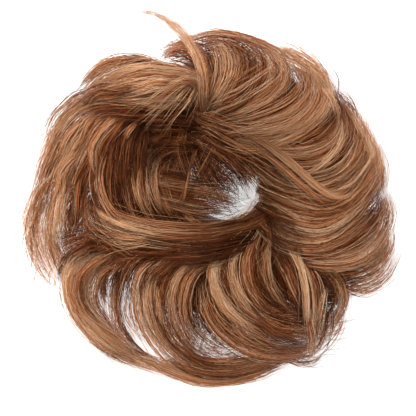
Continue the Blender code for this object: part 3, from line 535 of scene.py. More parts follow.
LOCKS["top_curls"] = (
    ("curl 1", (3, 4, 3), 0.68, 1, (0.8, 1.08, 1.1, 1, 0.8, 0.6),
     (205, 112, 211, 96, 216, 81, 218, 66, 216, 52, 208, 43, 195, 40)),
    ("curl 2", (3, 4.5, 3.5), 0.72, 1, (0.8, 1.1, 1.12, 1, 0.8, 0.6),
     (207, 112, 216, 97, 224, 81, 228, 66, 226, 51, 216, 42, 202, 39)),
    ("curl 3", (3, 4.5, 3.5), 0.68, 1, (0.8, 1.1, 1.12, 1, 0.8, 0.6),
     (208, 113, 221, 98, 231, 82, 236, 66, 234, 51, 225, 42, 210, 38)),
    ("curl 4", (3, 4.5, 3.5), 0.36, 1, (0.8, 1.08, 1.08, 0.95, 0.78, 0.58),
     (210, 114, 226, 101, 238, 87, 245, 71, 245, 56, 237, 45, 224, 39)),
    ("dark gap", (3, 5, 4), 0.17, 1, (0.85, 1.06, 1.08, 0.98, 0.75),
     (212, 114, 230, 103, 244, 92, 251, 78, 252, 62, 247, 50)),
    ("red curl", (3.5, 4.5, 3.5), 0.4, 1, (0.8, 1.15, 1.18, 1.05, 0.85, 0.6),
     (211, 116, 230, 106, 246, 96, 255, 83, 259, 68, 257, 54, 249, 44, 236, 38)),
    ("curl 5", (4, 4.5, 3), 0.76, 1, (0.8, 1.05, 1.05, 0.92, 0.72),
     (213, 118, 238, 108, 258, 95, 268, 81, 271, 67, 266, 55, 254, 47)),
    ("curl 5 dark", (2.5, 4, 3), 0.26, 1, (0.85, 1.04, 1.05, 0.9, 0.7),
     (215, 118, 242, 108, 262, 96, 270, 82, 272, 68)),
    ("curl 6", (4, 5.4, 3.8), 0.56, 1, (0.8, 1.1, 1.12, 1, 0.78, 0.6),
     (216, 120, 248, 109, 271, 97, 283, 83, 285, 69, 278, 58, 266, 50, 252, 43)),
    ("curl 7", (4, 5.9, 3.8), 0.58, 1, (0.8, 1.1, 1.12, 1, 0.78, 0.6),
     (218, 123, 254, 118, 281, 108, 299, 96, 306, 83, 302, 72, 292, 61, 280, 54)),
    ("curl 8", (4, 5.9, 3.8), 0.62, 1, (0.8, 1.1, 1.12, 1, 0.78, 0.6),
     (220, 128, 260, 127, 289, 117, 307, 104, 315, 90, 312, 77, 304, 66, 293, 57)),
    ("curl 9", (4, 5.9, 3.8), 0.82, 1, (0.8, 1.12, 1.15, 1.02, 0.8, 0.6),
     (222, 134, 264, 136, 291, 128, 309, 114, 319, 98, 319, 84, 311, 70, 300, 60)),
    ("curl 10", (4, 5.4, 3.8), 0.84, 1, (0.85, 1.1, 1.12, 1, 0.8, 0.58),
     (226, 140, 250, 144, 276, 139, 301, 127, 318, 112, 327, 98, 328, 84, 320, 71, 309, 62)),
    ("curl 11 gold edge", (1.2, 3.6, 2.4), 0.86, 1, (0.85, 1.12, 1.15, 1.02, 0.82, 0.62),
     (238, 146, 262, 149, 282, 143, 302, 134, 320, 121, 331, 109, 337, 98, 337, 86)),
    ("rim arc", (4, 4, 3.5), 0.8, 1, (0.55, 0.5, 0.46, 0.42, 0.42, 0.45, 0.5),
     (300, 76, 286, 61, 272, 50, 256, 42, 239, 37, 221, 34, 204, 35, 189, 40, 175, 47, 160, 58)),
    ("rim arc edge", (2, 2.5, 2.5), 0.8, 1, (0.4, 0.36, 0.34, 0.34, 0.36),
     (282, 55, 262, 43, 242, 36, 221, 31, 202, 32, 186, 37)),
    ("rim arc right", (4, 5, 4), 0.86, 1, (0.55, 0.5, 0.45, 0.42, 0.4, 0.4),
     (329, 104, 326, 88, 318, 73, 306, 61, 292, 53, 277, 48, 261, 43)),
    ("rim inner fill", (5, 7, 6), 0.64, 1, (0.7, 0.68, 0.6, 0.55, 0.5),
     (282, 66, 264, 54, 244, 46, 222, 43, 202, 45, 186, 50)),
    ("far hair loop", (0.4, 0.7, 0.7), 0.62, 1, (0.6, 0.55, 0.5, 0.5),
     (336, 106, 338, 92, 337, 79, 331, 68, 324, 61)),
    ("back tuft", (5, 6, 5), 0.46, 1, (0.75, 0.8, 0.75, 0.6),
     (208, 66, 197, 54, 183, 48, 170, 50, 158, 57)),
    ("back tuft gold", (3, 4, 3), 0.7, 1, (0.7, 0.75, 0.7, 0.55),
     (206, 50, 192, 46, 178, 47, 166, 53, 157, 61)),
    ("dark spot hair", (4, 6, 5), 0.6, 1, (0.9, 1, 0.98, 0.8),
     (204, 104, 208, 86, 208, 68, 203, 54, 196, 48)),
    ("root fan a", (4, 8, 9), 0.37, 1.7, (0.8, 0.98, 1, 0.92),
     (193, 116, 206, 118, 224, 124, 243, 134, 260, 150)),
    ("root fan b", (4, 8, 9), 0.27, 1.7, (0.78, 0.92, 0.92, 0.85),
     (193, 124, 208, 127, 226, 135, 244, 147, 262, 166)),
    ("root fan c", (4, 9, 11), 0.31, 1.7, (0.75, 0.88, 0.86, 0.8),
     (194, 132, 210, 137, 229, 147, 246, 160, 262, 178)),
    ("root fan d", (4, 9, 11), 0.31, 1.7, (0.74, 0.86, 0.84, 0.78),
     (194, 138, 209, 145, 227, 156, 243, 170, 256, 187)),
    ("root fan e", (4, 9, 10), 0.27, 1.7, (0.72, 0.84, 0.8, 0.74),
     (195, 144, 207, 152, 221, 164, 234, 178, 246, 192)),
    ("root fan f", (4, 8, 9), 0.21, 1.7, (0.7, 0.8, 0.76, 0.7),
     (195, 148, 203, 160, 212, 174, 222, 188, 232, 200)),
    ("pocket fill", (6, 9, 7), 0.3, 1, (0.7, 0.72, 0.66, 0.6),
     (256, 66, 238, 54, 220, 48, 202, 50, 188, 58)),
    ("upper fill", (6, 8, 6), 0.8, 1, (0.6, 0.6, 0.55, 0.5),
     (330, 110, 322, 88, 304, 70, 282, 58, 260, 48)),
    ("root fan g", (8, 10, 10), 0.25, 1.6, (0.74, 0.84, 0.84, 0.78),
     (206, 134, 222, 146, 238, 160, 252, 174, 266, 190)),
    ("curl 7 dark", (1.5, 2.6, 2), 0.2, 1, (0.85, 1.08, 1.1, 1),
     (224, 123, 256, 116, 280, 104, 295, 90, 298, 76)),
    ("curl 8 pale", (0.8, 1.8, 1.2), 0.84, 1, (0.9, 1.14, 1.16, 1.05, 0.85),
     (232, 127, 266, 122, 292, 110, 308, 96, 312, 80)),
    ("curl 6 pale", (0.8, 1.6, 1.2), 0.84, 1, (0.9, 1.14, 1.16, 1.05, 0.85),
     (222, 118, 248, 106, 268, 94, 280, 80, 279, 66)),
    ("root fan h", (6, 9, 10), 0.25, 1.5, (0.7, 0.8, 0.8, 0.74),
     (194, 150, 200, 164, 208, 178, 216, 190, 224, 202)),
    ("pocket dark", (5, 8, 7), 0.2, 1, (0.85, 0.92, 0.9, 0.8), (210, 84, 207, 70, 203, 58, 198, 46)),
    ("back fill", (6, 7, 6), 0.4, 1, (0.6, 0.62, 0.58, 0.5), (216, 50, 201, 44, 185, 44, 171, 50, 159, 59)),
    ("curl 3 pale", (0.6, 1.5, 1.2), 0.96, 1, (0.85, 1.12, 1.14, 1, 0.8),
     (210, 112, 222, 98, 232, 82, 236, 66, 233, 52)),
    ("curl 9 pale", (0.6, 1.5, 1.2), 0.92, 1, (0.85, 1.16, 1.18, 1.05, 0.85),
     (232, 133, 266, 134, 292, 125, 309, 111, 318, 95)),
    ("rim right edge", (3, 5, 4), 0.82, 1, (0.45, 0.42, 0.4, 0.38, 0.38),
     (333, 99, 327, 82, 316, 68, 302, 58, 287, 51, 271, 47)),
    ("back tuft low", (4, 7, 5), 0.6, 1.9, (0.7, 0.72, 0.68, 0.62, 0.55),
     (206, 60, 192, 55, 178, 54, 166, 57, 157, 61)),
    ("pocket dark 2", (6, 8, 6), 0.4, 1, (0.95, 1, 0.95, 0.85), (207, 80, 207, 66, 205, 53, 201, 43)),
    ("back tuft fill", (3, 4, 3), 0.6, 1.2, (0.6, 0.56, 0.5, 0.45), (198, 43, 185, 46, 173, 51, 162, 57)),
    ("root pale pink", (2, 3.5, 2.5), 0.9, 0.7, (1.2, 1.26, 1.16, 1), (206, 98, 205, 88, 207, 77, 212, 66)),
    ("hole top hair", (3, 5, 3), 0.3, 1.4, (0.7, 0.6, 0.5, 0.44), (228, 159, 239, 165, 249, 172, 258, 181)),
)
LOCKS["left_fall"] = (
    ("fall edge", (5, 5.4, 3.8), 0.92, 1, (0.7, 0.75, 0.65, 0.5, 0.35, 0.25),
     (110, 99, 90, 103, 75, 110, 63, 122, 54, 137, 48, 152, 43, 168, 39, 185, 34, 202, 28, 220)),
    ("fall pale edge", (2.5, 3.2, 2.6), 0.95, 1, (0.75, 0.72, 0.6, 0.45, 0.35),
     (94, 94, 79, 101, 68, 112, 60, 127, 53, 144, 47, 160, 42, 178)),
    ("fall outer", (5, 5.4, 4.8), 0.64, 1, (0.75, 0.85, 0.75, 0.55, 0.38, 0.25),
     (118, 106, 94, 112, 78, 123, 66, 139, 56, 156, 49, 174, 42, 192, 36, 210, 32, 230)),
    ("fall second", (5, 5.4, 4.8), 0.62, 1, (0.8, 0.95, 0.85, 0.65, 0.45, 0.3),
     (128, 108, 102, 115, 86, 127, 74, 144, 66, 160, 59, 176, 53, 196, 48, 216, 45, 236)),
    ("fall third", (5, 5.4, 4.8), 0.7, 1, (0.82, 0.98, 0.9, 0.72, 0.5, 0.35),
     (134, 110, 110, 120, 94, 136, 83, 156, 74, 176, 68, 196, 62, 216, 59, 238)),
    ("fall brown", (5, 6.3, 4.8), 0.42, 1, (0.82, 0.95, 0.88, 0.75, 0.55),
     (138, 112, 114, 126, 99, 146, 88, 168, 80, 190, 76, 212, 75, 236)),
    ("fall dark pocket", (3, 4, 3), 0.22, 1, (0.6, 0.62, 0.55, 0.45), (62, 152, 56, 162, 50, 172, 45, 182)),
    ("fall red arc", (1.5, 3.5, 3), 0.48, 1, (0.6, 0.68, 0.6, 0.45, 0.3),
     (60, 170, 50, 177, 41, 187, 35, 200, 33, 214, 33, 230)),
    ("fall pale arc", (2, 4, 4), 0.86, 1, (0.85, 0.9, 0.8, 0.65, 0.5),
     (88, 150, 74, 156, 64, 167, 60, 182, 58, 200, 57, 220)),
    ("fall brown strands", (4, 5.4, 4.8), 0.42, 1, (0.8, 0.85, 0.8, 0.65),
     (86, 160, 80, 178, 77, 198, 75, 220, 74, 240)),
    ("fall dark strands", (4, 5, 4), 0.22, 1, (0.8, 0.82, 0.8, 0.7),
     (100, 140, 92, 162, 88, 186, 86, 208, 86, 226)),
    ("pointed tip", (5.5, 4.5, 1.2), 0.7, 1, (0.72, 1.2, 1.18, 1.1, 1),
     (130, 114, 111, 125, 99, 140, 93, 155, 94, 168, 99, 181)),
    ("short lock a", (3, 3.5, 3), 0.6, 1, (0.72, 1.08, 1, 0.85),
     (106, 112, 92, 119, 84, 129, 80, 142, 76, 157)),
    ("short lock b", (3, 3.5, 2.5), 0.46, 1, (0.72, 1.12, 1.05, 0.92),
     (116, 113, 101, 122, 92, 134, 87, 148, 85, 161)),
    ("short lock d", (3, 4, 3), 0.5, 1, (0.72, 1.15, 1.1, 0.98),
     (138, 114, 122, 123, 111, 137, 105, 152, 103, 166)),
    ("short lock e", (3, 4, 3), 0.7, 1, (0.72, 1.15, 1.1, 0.95), (142, 117, 131, 125, 123, 137, 119, 150)),
    ("fall valley", (4, 5.4, 4.8), 0.24, 1, (0.8, 0.92, 0.9, 0.8),
     (136, 118, 118, 136, 108, 158, 104, 182, 106, 206)),
    ("pale ends", (4, 7.2, 4.8), 0.95, 0.7, (0.5, 0.45, 0.35, 0.28, 0.22, 0.18),
     (64, 182, 56, 200, 52, 220, 53, 242, 58, 260, 65, 278, 72, 294)),
    ("pale ends outer", (5, 9, 6), 0.86, 1, (0.42, 0.36, 0.28, 0.2, 0.15, 0.12),
     (52, 186, 43, 204, 38, 224, 40, 244, 47, 262, 57, 276, 66, 288)),
    ("ragged ends", (5, 7, 5), 0.8, 1, (0.45, 0.38, 0.28, 0.2),
     (43, 184, 37, 198, 31, 212, 26, 226, 25, 238)),
    ("ragged long ends", (2, 4, 4), 0.66, 1, (0.4, 0.35, 0.25, 0.15, 0.1),
     (36, 206, 33, 224, 30, 242, 32, 260, 38, 276)),
    ("fall under", (12, 16, 8), 0.4, 0.4, (0.5, 0.45, 0.35, 0.25),
     (120, 112, 84, 140, 66, 180, 60, 222, 66, 262)),
    ("pale ends inner", (4, 6.3, 4.8), 1, 0.6, (0.55, 0.5, 0.4, 0.32, 0.28),
     (74, 190, 68, 210, 65, 230, 66, 250, 70, 268)),
    ("pale crossing", (2, 4, 3), 0.9, 1, (0.88, 0.86, 0.75, 0.6),
     (96, 118, 84, 130, 74, 146, 67, 162, 63, 178)),
    ("fall dark line", (2, 2.5, 2), 0.18, 1, (0.8, 0.92, 0.85, 0.7), (100, 112, 84, 124, 73, 140, 64, 157)),
    ("fall junction", (5, 7, 5), 0.54, 1, (0.8, 0.72, 0.6, 0.45),
     (96, 94, 82, 98, 71, 106, 62, 117, 54, 131, 48, 147)),
    # Painted shade: a dark row where the swoop's lower edge shades the roots of the short locks
    ("fall top shadow", (3, 6, 4), 0.14, 1.5, (0.9, 1.18, 1.18, 1.05, 0.8),
     (156, 114, 134, 112, 112, 111, 96, 113, 82, 119)),
    ("left tips fill", (6, 9, 7), 0.86, 0.35, (0.42, 0.35, 0.28, 0.2, 0.15),
     (50, 196, 43, 214, 41, 232, 46, 250, 54, 268)),
    ("corner fill", (8, 12, 10), 0.3, 1, (0.62, 0.6, 0.5, 0.42), (86, 186, 82, 206, 76, 228, 70, 250)),
    ("pale wisps", (3, 6, 4), 0.92, 1, (0.85, 0.95, 0.88, 0.72, 0.55),
     (90, 118, 77, 130, 68, 145, 62, 160, 58, 178)),
    ("fall dark line 2", (1.5, 2.2, 2), 0.18, 1, (0.75, 0.85, 0.75, 0.6, 0.45),
     (84, 116, 70, 129, 59, 146, 51, 164, 46, 184)),
    ("fall dark line 3", (1.5, 2.2, 2), 0.2, 1, (0.8, 0.9, 0.8, 0.65),
     (92, 150, 80, 170, 73, 192, 70, 214)),
    ("root corner fill", (8, 13, 10), 0.22, 1.6, (0.72, 0.62, 0.52, 0.45),
     (112, 250, 92, 250, 74, 250, 60, 262)),
    # Painted shade in the dark hollow inside the fall
    ("fall inner shadow", (7, 11, 9), 0.14, 1.2, (0.8, 1.02, 1.08, 1.06, 1),
     (150, 117, 134, 133, 127, 154, 125, 176, 130, 196)),
    ("left valley", (4, 7, 6), 0.22, 0.7, (0.95, 1.02, 1.02, 0.9), (92, 186, 90, 206, 93, 226, 100, 242)),
    ("ragged ends 2", (4, 6, 4), 0.9, 0.5, (0.42, 0.34, 0.28, 0.22, 0.2),
     (44, 184, 37, 198, 31, 210, 27, 222, 26, 234)),
    ("lower tips", (4, 6, 4), 0.9, 1.3, (0.3, 0.25, 0.2, 0.15), (50, 226, 50, 243, 55, 261, 63, 277)),
    # Painted shade in the hollow
    ("fall inner dark", (4, 7, 5), 0.13, 1.3, (1, 1.05, 1, 0.95, 0.9),
     (146, 130, 141, 146, 139, 162, 141, 180, 145, 196)),
    ("fall pale inner", (3, 5.5, 4), 0.86, 1.2, (0.8, 0.84, 0.78, 0.7),
     (66, 188, 62, 203, 60, 220, 62, 238)),
    ("valley fill", (4, 7, 4), 0.42, 0.9, (0.5, 0.52, 0.5, 0.46), (84, 180, 78, 196, 73, 211, 68, 226)),
    ("fall pale veil", (3, 6, 5), 0.96, 0.6, (0.76, 0.8, 0.74, 0.64, 0.54),
     (66, 178, 61, 194, 57, 212, 55, 230, 54, 246)),
    ("corner tips", (3, 5, 3), 0.6, 1, (0.4, 0.38, 0.34, 0.3), (50, 238, 56, 252, 62, 266, 66, 280)),
)
LOCKS["bottom_curls"] = (
    ("pale s curl", (3.5, 5, 5), 0.9, 1, (0.75, 1.1, 1.12, 1, 0.85, 0.7, 0.6),
     (243, 240, 225, 251, 215, 264, 213, 278, 217, 292, 228, 306, 242, 319, 260, 331, 281, 338, 303, 340,
      323, 336)),
    ("s curl 2", (3.5, 5, 5), 0.38, 1, (0.75, 1.08, 1.08, 0.98, 0.85, 0.7, 0.6),
     (246, 236, 230, 251, 222, 268, 225, 288, 236, 305, 252, 319, 272, 329, 300, 334, 322, 328)),
    ("s curl 3", (3.5, 5, 5), 0.6, 0.6, (0.75, 1.12, 1.14, 1.05, 0.9, 0.75, 0.6),
     (252, 232, 239, 250, 233, 269, 237, 288, 247, 304, 261, 317, 281, 326, 304, 329, 324, 321)),
    ("s curl 4", (3.5, 5, 5), 0.52, 1, (0.75, 1.15, 1.18, 1.08, 0.92, 0.75, 0.6),
     (258, 226, 249, 246, 246, 267, 250, 286, 259, 302, 273, 315, 298, 322, 320, 318)),
    ("s curl 5", (3, 5, 5), 0.5, 1, (0.75, 1.08, 1.08, 0.98, 0.85, 0.72, 0.6),
     (262, 224, 256, 246, 257, 266, 263, 285, 273, 300, 290, 312, 314, 316)),
    # Painted shade in the gap between the S-curls
    ("s gap dark", (4, 5, 5), 0.13, 1, (0.7, 0.95, 0.92, 0.85, 0.72),
     (264, 228, 262, 250, 263, 270, 269, 288, 281, 303, 300, 316, 318, 322)),
    ("red lock", (3.5, 5, 4), 0.64, 1, (0.75, 1.1, 1.1, 1, 0.85, 0.7),
     (268, 236, 267, 258, 269, 278, 277, 294, 290, 307, 308, 316)),
    # Painted shade in the valley by the S-curls' roots
    ("valley shade strands", (7, 11, 9), 0.15, 1, (0.75, 0.98, 0.98, 0.88, 0.7),
     (272, 238, 281, 260, 289, 282, 298, 300, 310, 318)),
    ("olive thin hair", (2, 8, 5), 0.5, 1, (0.75, 1.02, 1.02, 0.92),
     (276, 246, 284, 264, 292, 282, 299, 298, 306, 314)),
    ("end tuft", (1.4, 3.2, 3.2), 0.9, 1, (0.9, 1.15, 1.22, 1.15, 0.95, 0.7, 0.45),
     (286, 242, 297, 257, 304, 273, 307, 290, 308, 308, 309, 326, 310, 344, 312, 362, 313, 374)),
    ("tuft edge", (1.5, 3, 4), 0.62, 1, (0.8, 1.08, 1.12, 1.05, 0.85, 0.6, 0.4),
     (290, 248, 302, 262, 310, 280, 313, 298, 313, 316, 312, 334, 308, 352, 305, 366)),
    ("second tuft", (1.6, 4, 4.5), 0.92, 1, (0.9, 0.98, 0.95, 0.8, 0.6),
     (326, 286, 321, 298, 318, 312, 316, 326, 314, 342)),
    ("pale thin strands", (1, 4, 4), 0.78, 1, (0.8, 0.98, 0.95, 0.82, 0.65),
     (308, 262, 314, 276, 316, 292, 316, 308, 315, 324)),
    ("outer s curl", (4, 5.4, 4.8), 0.6, 1, (0.6, 0.8, 0.75, 0.65, 0.5, 0.4),
     (222, 262, 208, 280, 205, 298, 210, 315, 224, 333, 243, 348, 266, 355, 290, 354, 314, 344, 334, 334)),
    ("inner s fill", (4, 6, 5), 0.42, 1, (0.6, 0.85, 0.82, 0.72, 0.58, 0.48),
     (226, 262, 214, 282, 213, 300, 221, 317, 236, 332, 256, 343, 282, 347, 312, 340)),
    ("gap mess", (6, 8, 6), 0.4, 1, (0.6, 0.75, 0.68, 0.55, 0.45),
     (216, 256, 203, 272, 198, 292, 202, 310, 212, 326, 228, 340)),
    ("swirl edge", (5, 5.4, 4.8), 0.88, 0.6, (0.6, 0.7, 0.6, 0.5, 0.4, 0.3),
     (298, 257, 322, 264, 338, 278, 344, 298, 338, 317, 325, 332, 310, 342)),
    ("swirl outline", (2, 3, 3), 0.82, 0.6, (0.45, 0.45, 0.4, 0.35, 0.3),
     (334, 270, 345, 284, 347, 302, 341, 319, 329, 334, 314, 344)),
    ("swirl inner edge", (4, 5, 4), 0.36, 0.6, (0.6, 0.68, 0.6, 0.5, 0.4),
     (296, 256, 316, 266, 330, 282, 333, 300, 326, 316, 313, 328)),
    # Painted shade in the hollow by the tuft
    ("swirl hollow", (8, 10, 7), 0.13, 0.96, (0.5, 0.5, 0.45, 0.4),
     (300, 262, 322, 274, 334, 292, 328, 312, 312, 328)),
    ("lower frizz", (6, 9, 8.5), 0.8, 0.36, (0.45, 0.4, 0.34, 0.28),
     (342, 304, 335, 322, 324, 338, 310, 350, 296, 357)),
    ("rim under", (10.5, 14, 7), 0.34, 0.4, (0.5, 0.45, 0.35, 0.28),
     (232, 300, 248, 326, 276, 342, 304, 346)),
    ("outer s gold", (2, 3, 2.5), 0.8, 1, (0.6, 0.82, 0.8, 0.68, 0.55, 0.45),
     (222, 310, 234, 326, 250, 340, 270, 348, 290, 349, 308, 344)),
    # Painted shade under the S-curls
    ("s under fill", (8, 12, 12), 0.15, 1, (0.55, 0.72, 0.72, 0.62, 0.5),
     (246, 250, 240, 280, 252, 308, 276, 326, 306, 330)),
    ("gap mess pale", (2, 4, 3), 0.45, 1, (0.7, 0.85, 0.8, 0.6),
     (212, 262, 204, 280, 204, 298, 211, 316, 224, 332)),
    ("s pale line", (1.2, 2.6, 2.2), 1, 1, (0.9, 1.2, 1.22, 1.1, 0.95),
     (252, 238, 244, 256, 243, 274, 249, 292, 261, 307, 278, 318)),
    ("s dark line", (2, 3, 2.6), 0.13, 1, (0.8, 1.1, 1.1, 1, 0.88),
     (256, 232, 244, 250, 240, 270, 244, 290, 255, 307, 272, 320)),
    ("tuft fill", (6, 9, 8), 0.34, 1, (0.5, 0.5, 0.42, 0.34),
     (322, 300, 322, 318, 318, 334, 308, 348, 294, 358)),
    ("s dark line 2", (2, 3, 2.6), 0.3, 1, (0.8, 1.12, 1.14, 1.04, 0.9),
     (265, 238, 256, 254, 255, 272, 261, 288, 273, 302, 291, 311)),
    ("gap bottom fill", (5, 8, 8), 0.46, 0.9, (0.35, 0.34, 0.32, 0.3),
     (206, 362, 226, 362, 244, 358, 262, 354, 280, 350)),
    ("gap mess left", (5, 8, 6), 0.38, 1.5, (0.7, 0.8, 0.7, 0.55, 0.45),
     (208, 260, 195, 276, 189, 296, 191, 314, 199, 330, 212, 343)),
    # Painted shade beside the tuft and over the S-curls' ends: this row and the next
    ("tuft left fill", (9, 14, 12), 0.15, 1.3, (0.7, 0.85, 0.75, 0.6),
     (282, 266, 289, 290, 295, 312, 298, 332)),
    ("s end shadow", (8, 13, 11), 0.13, 1.7, (1.15, 1.12, 1.05, 0.9),
     (256, 314, 276, 326, 295, 331, 312, 330)),
    ("s pale line 2", (1, 2, 1.6), 0.84, 1, (0.75, 1.12, 1.15, 1.05, 0.9, 0.78),
     (236, 244, 219, 256, 212, 272, 213, 290, 225, 308, 244, 324, 268, 335)),
    ("s gold line", (1, 2, 1.6), 0.92, 1, (0.75, 1.14, 1.18, 1.08, 0.95),
     (246, 240, 236, 258, 235, 278, 243, 297, 257, 312, 276, 322)),
    ("gap mess upper", (6, 9, 7), 0.28, 1, (0.75, 0.85, 0.78, 0.6),
     (214, 258, 202, 278, 199, 297, 205, 314)),
    ("low end fill", (3, 5, 4), 0.62, 1.2, (0.34, 0.34, 0.32, 0.3),
     (260, 356, 284, 352, 304, 347, 320, 339)),
    ("gap 2 upper edge", (3, 7, 5), 0.34, 1.4, (0.55, 0.55, 0.5, 0.45, 0.42),
     (202, 302, 209, 318, 222, 330, 238, 340, 254, 346)),
    # Painted shade over the S-curls' ends: this row and the next
    ("s dark line 3", (2, 4.5, 3.5), 0.15, 1, (1.1, 1.12, 1.02, 0.9),
     (246, 294, 260, 312, 280, 326, 302, 332)),
    ("s dark line 4", (2, 4, 3), 0.18, 1, (1, 0.98, 0.9, 0.78), (228, 296, 242, 316, 264, 332, 292, 341)),
    ("s gold edge", (1, 2.2, 1.8), 0.95, 1, (1.05, 1.08, 1, 0.88, 0.75),
     (214, 282, 224, 303, 240, 319, 262, 333, 290, 340)),
    ("low ragged ends", (3, 5, 4), 0.46, 2, (0.26, 0.25, 0.24, 0.24),
     (282, 357, 298, 360, 312, 359, 323, 351)),
    # Painted shade in the pocket beside the tuft
    ("s pocket dark", (4, 8, 5), 0.15, 1.7, (0.6, 0.64, 0.62, 0.5),
     (284, 284, 295, 300, 303, 318, 306, 340)),
    # Painted shade in the pocket by the tuft
    ("pocket by tuft", (4, 6, 4), 0.13, 1, (0.8, 0.86, 0.8, 0.7), (306, 262, 318, 268, 330, 277, 338, 290)),
    ("gap upper dark", (3, 4, 3), 0.3, 1, (0.6, 0.62, 0.56, 0.5), (206, 322, 218, 332, 232, 343, 248, 351)),
    ("bottom outer edge", (2, 4, 3), 0.5, 1.3, (0.3, 0.3, 0.3, 0.3),
     (196, 382, 215, 384, 235, 382, 256, 377, 272, 370, 290, 361)),
    ("gap top dark", (3, 5, 3), 0.28, 2, (0.7, 0.68, 0.6, 0.55), (188, 292, 189, 308, 192, 324, 197, 340)),
    # Painted shade over the S-curls' ends
    ("s end dark", (3, 4.5, 3), 0.14, 2, (0.8, 0.82, 0.78, 0.7), (268, 331, 284, 338, 298, 342, 310, 343)),
    ("tuft side fill", (4, 6, 4), 0.2, 1.5, (0.7, 0.72, 0.66, 0.55),
     (297, 290, 302, 308, 305, 326, 303, 350)),
    ("tuft end", (2.4, 3.6, 3.6), 0.42, 0.9, (1.05, 1.06, 1, 0.9),
     (303, 298, 307, 318, 310, 340, 313, 363)),
    ("tuft root dark", (2.4, 3.6, 2.4), 0.2, 1, (1.05, 1.15, 1.1), (291, 243, 298, 255, 303, 270)),
)
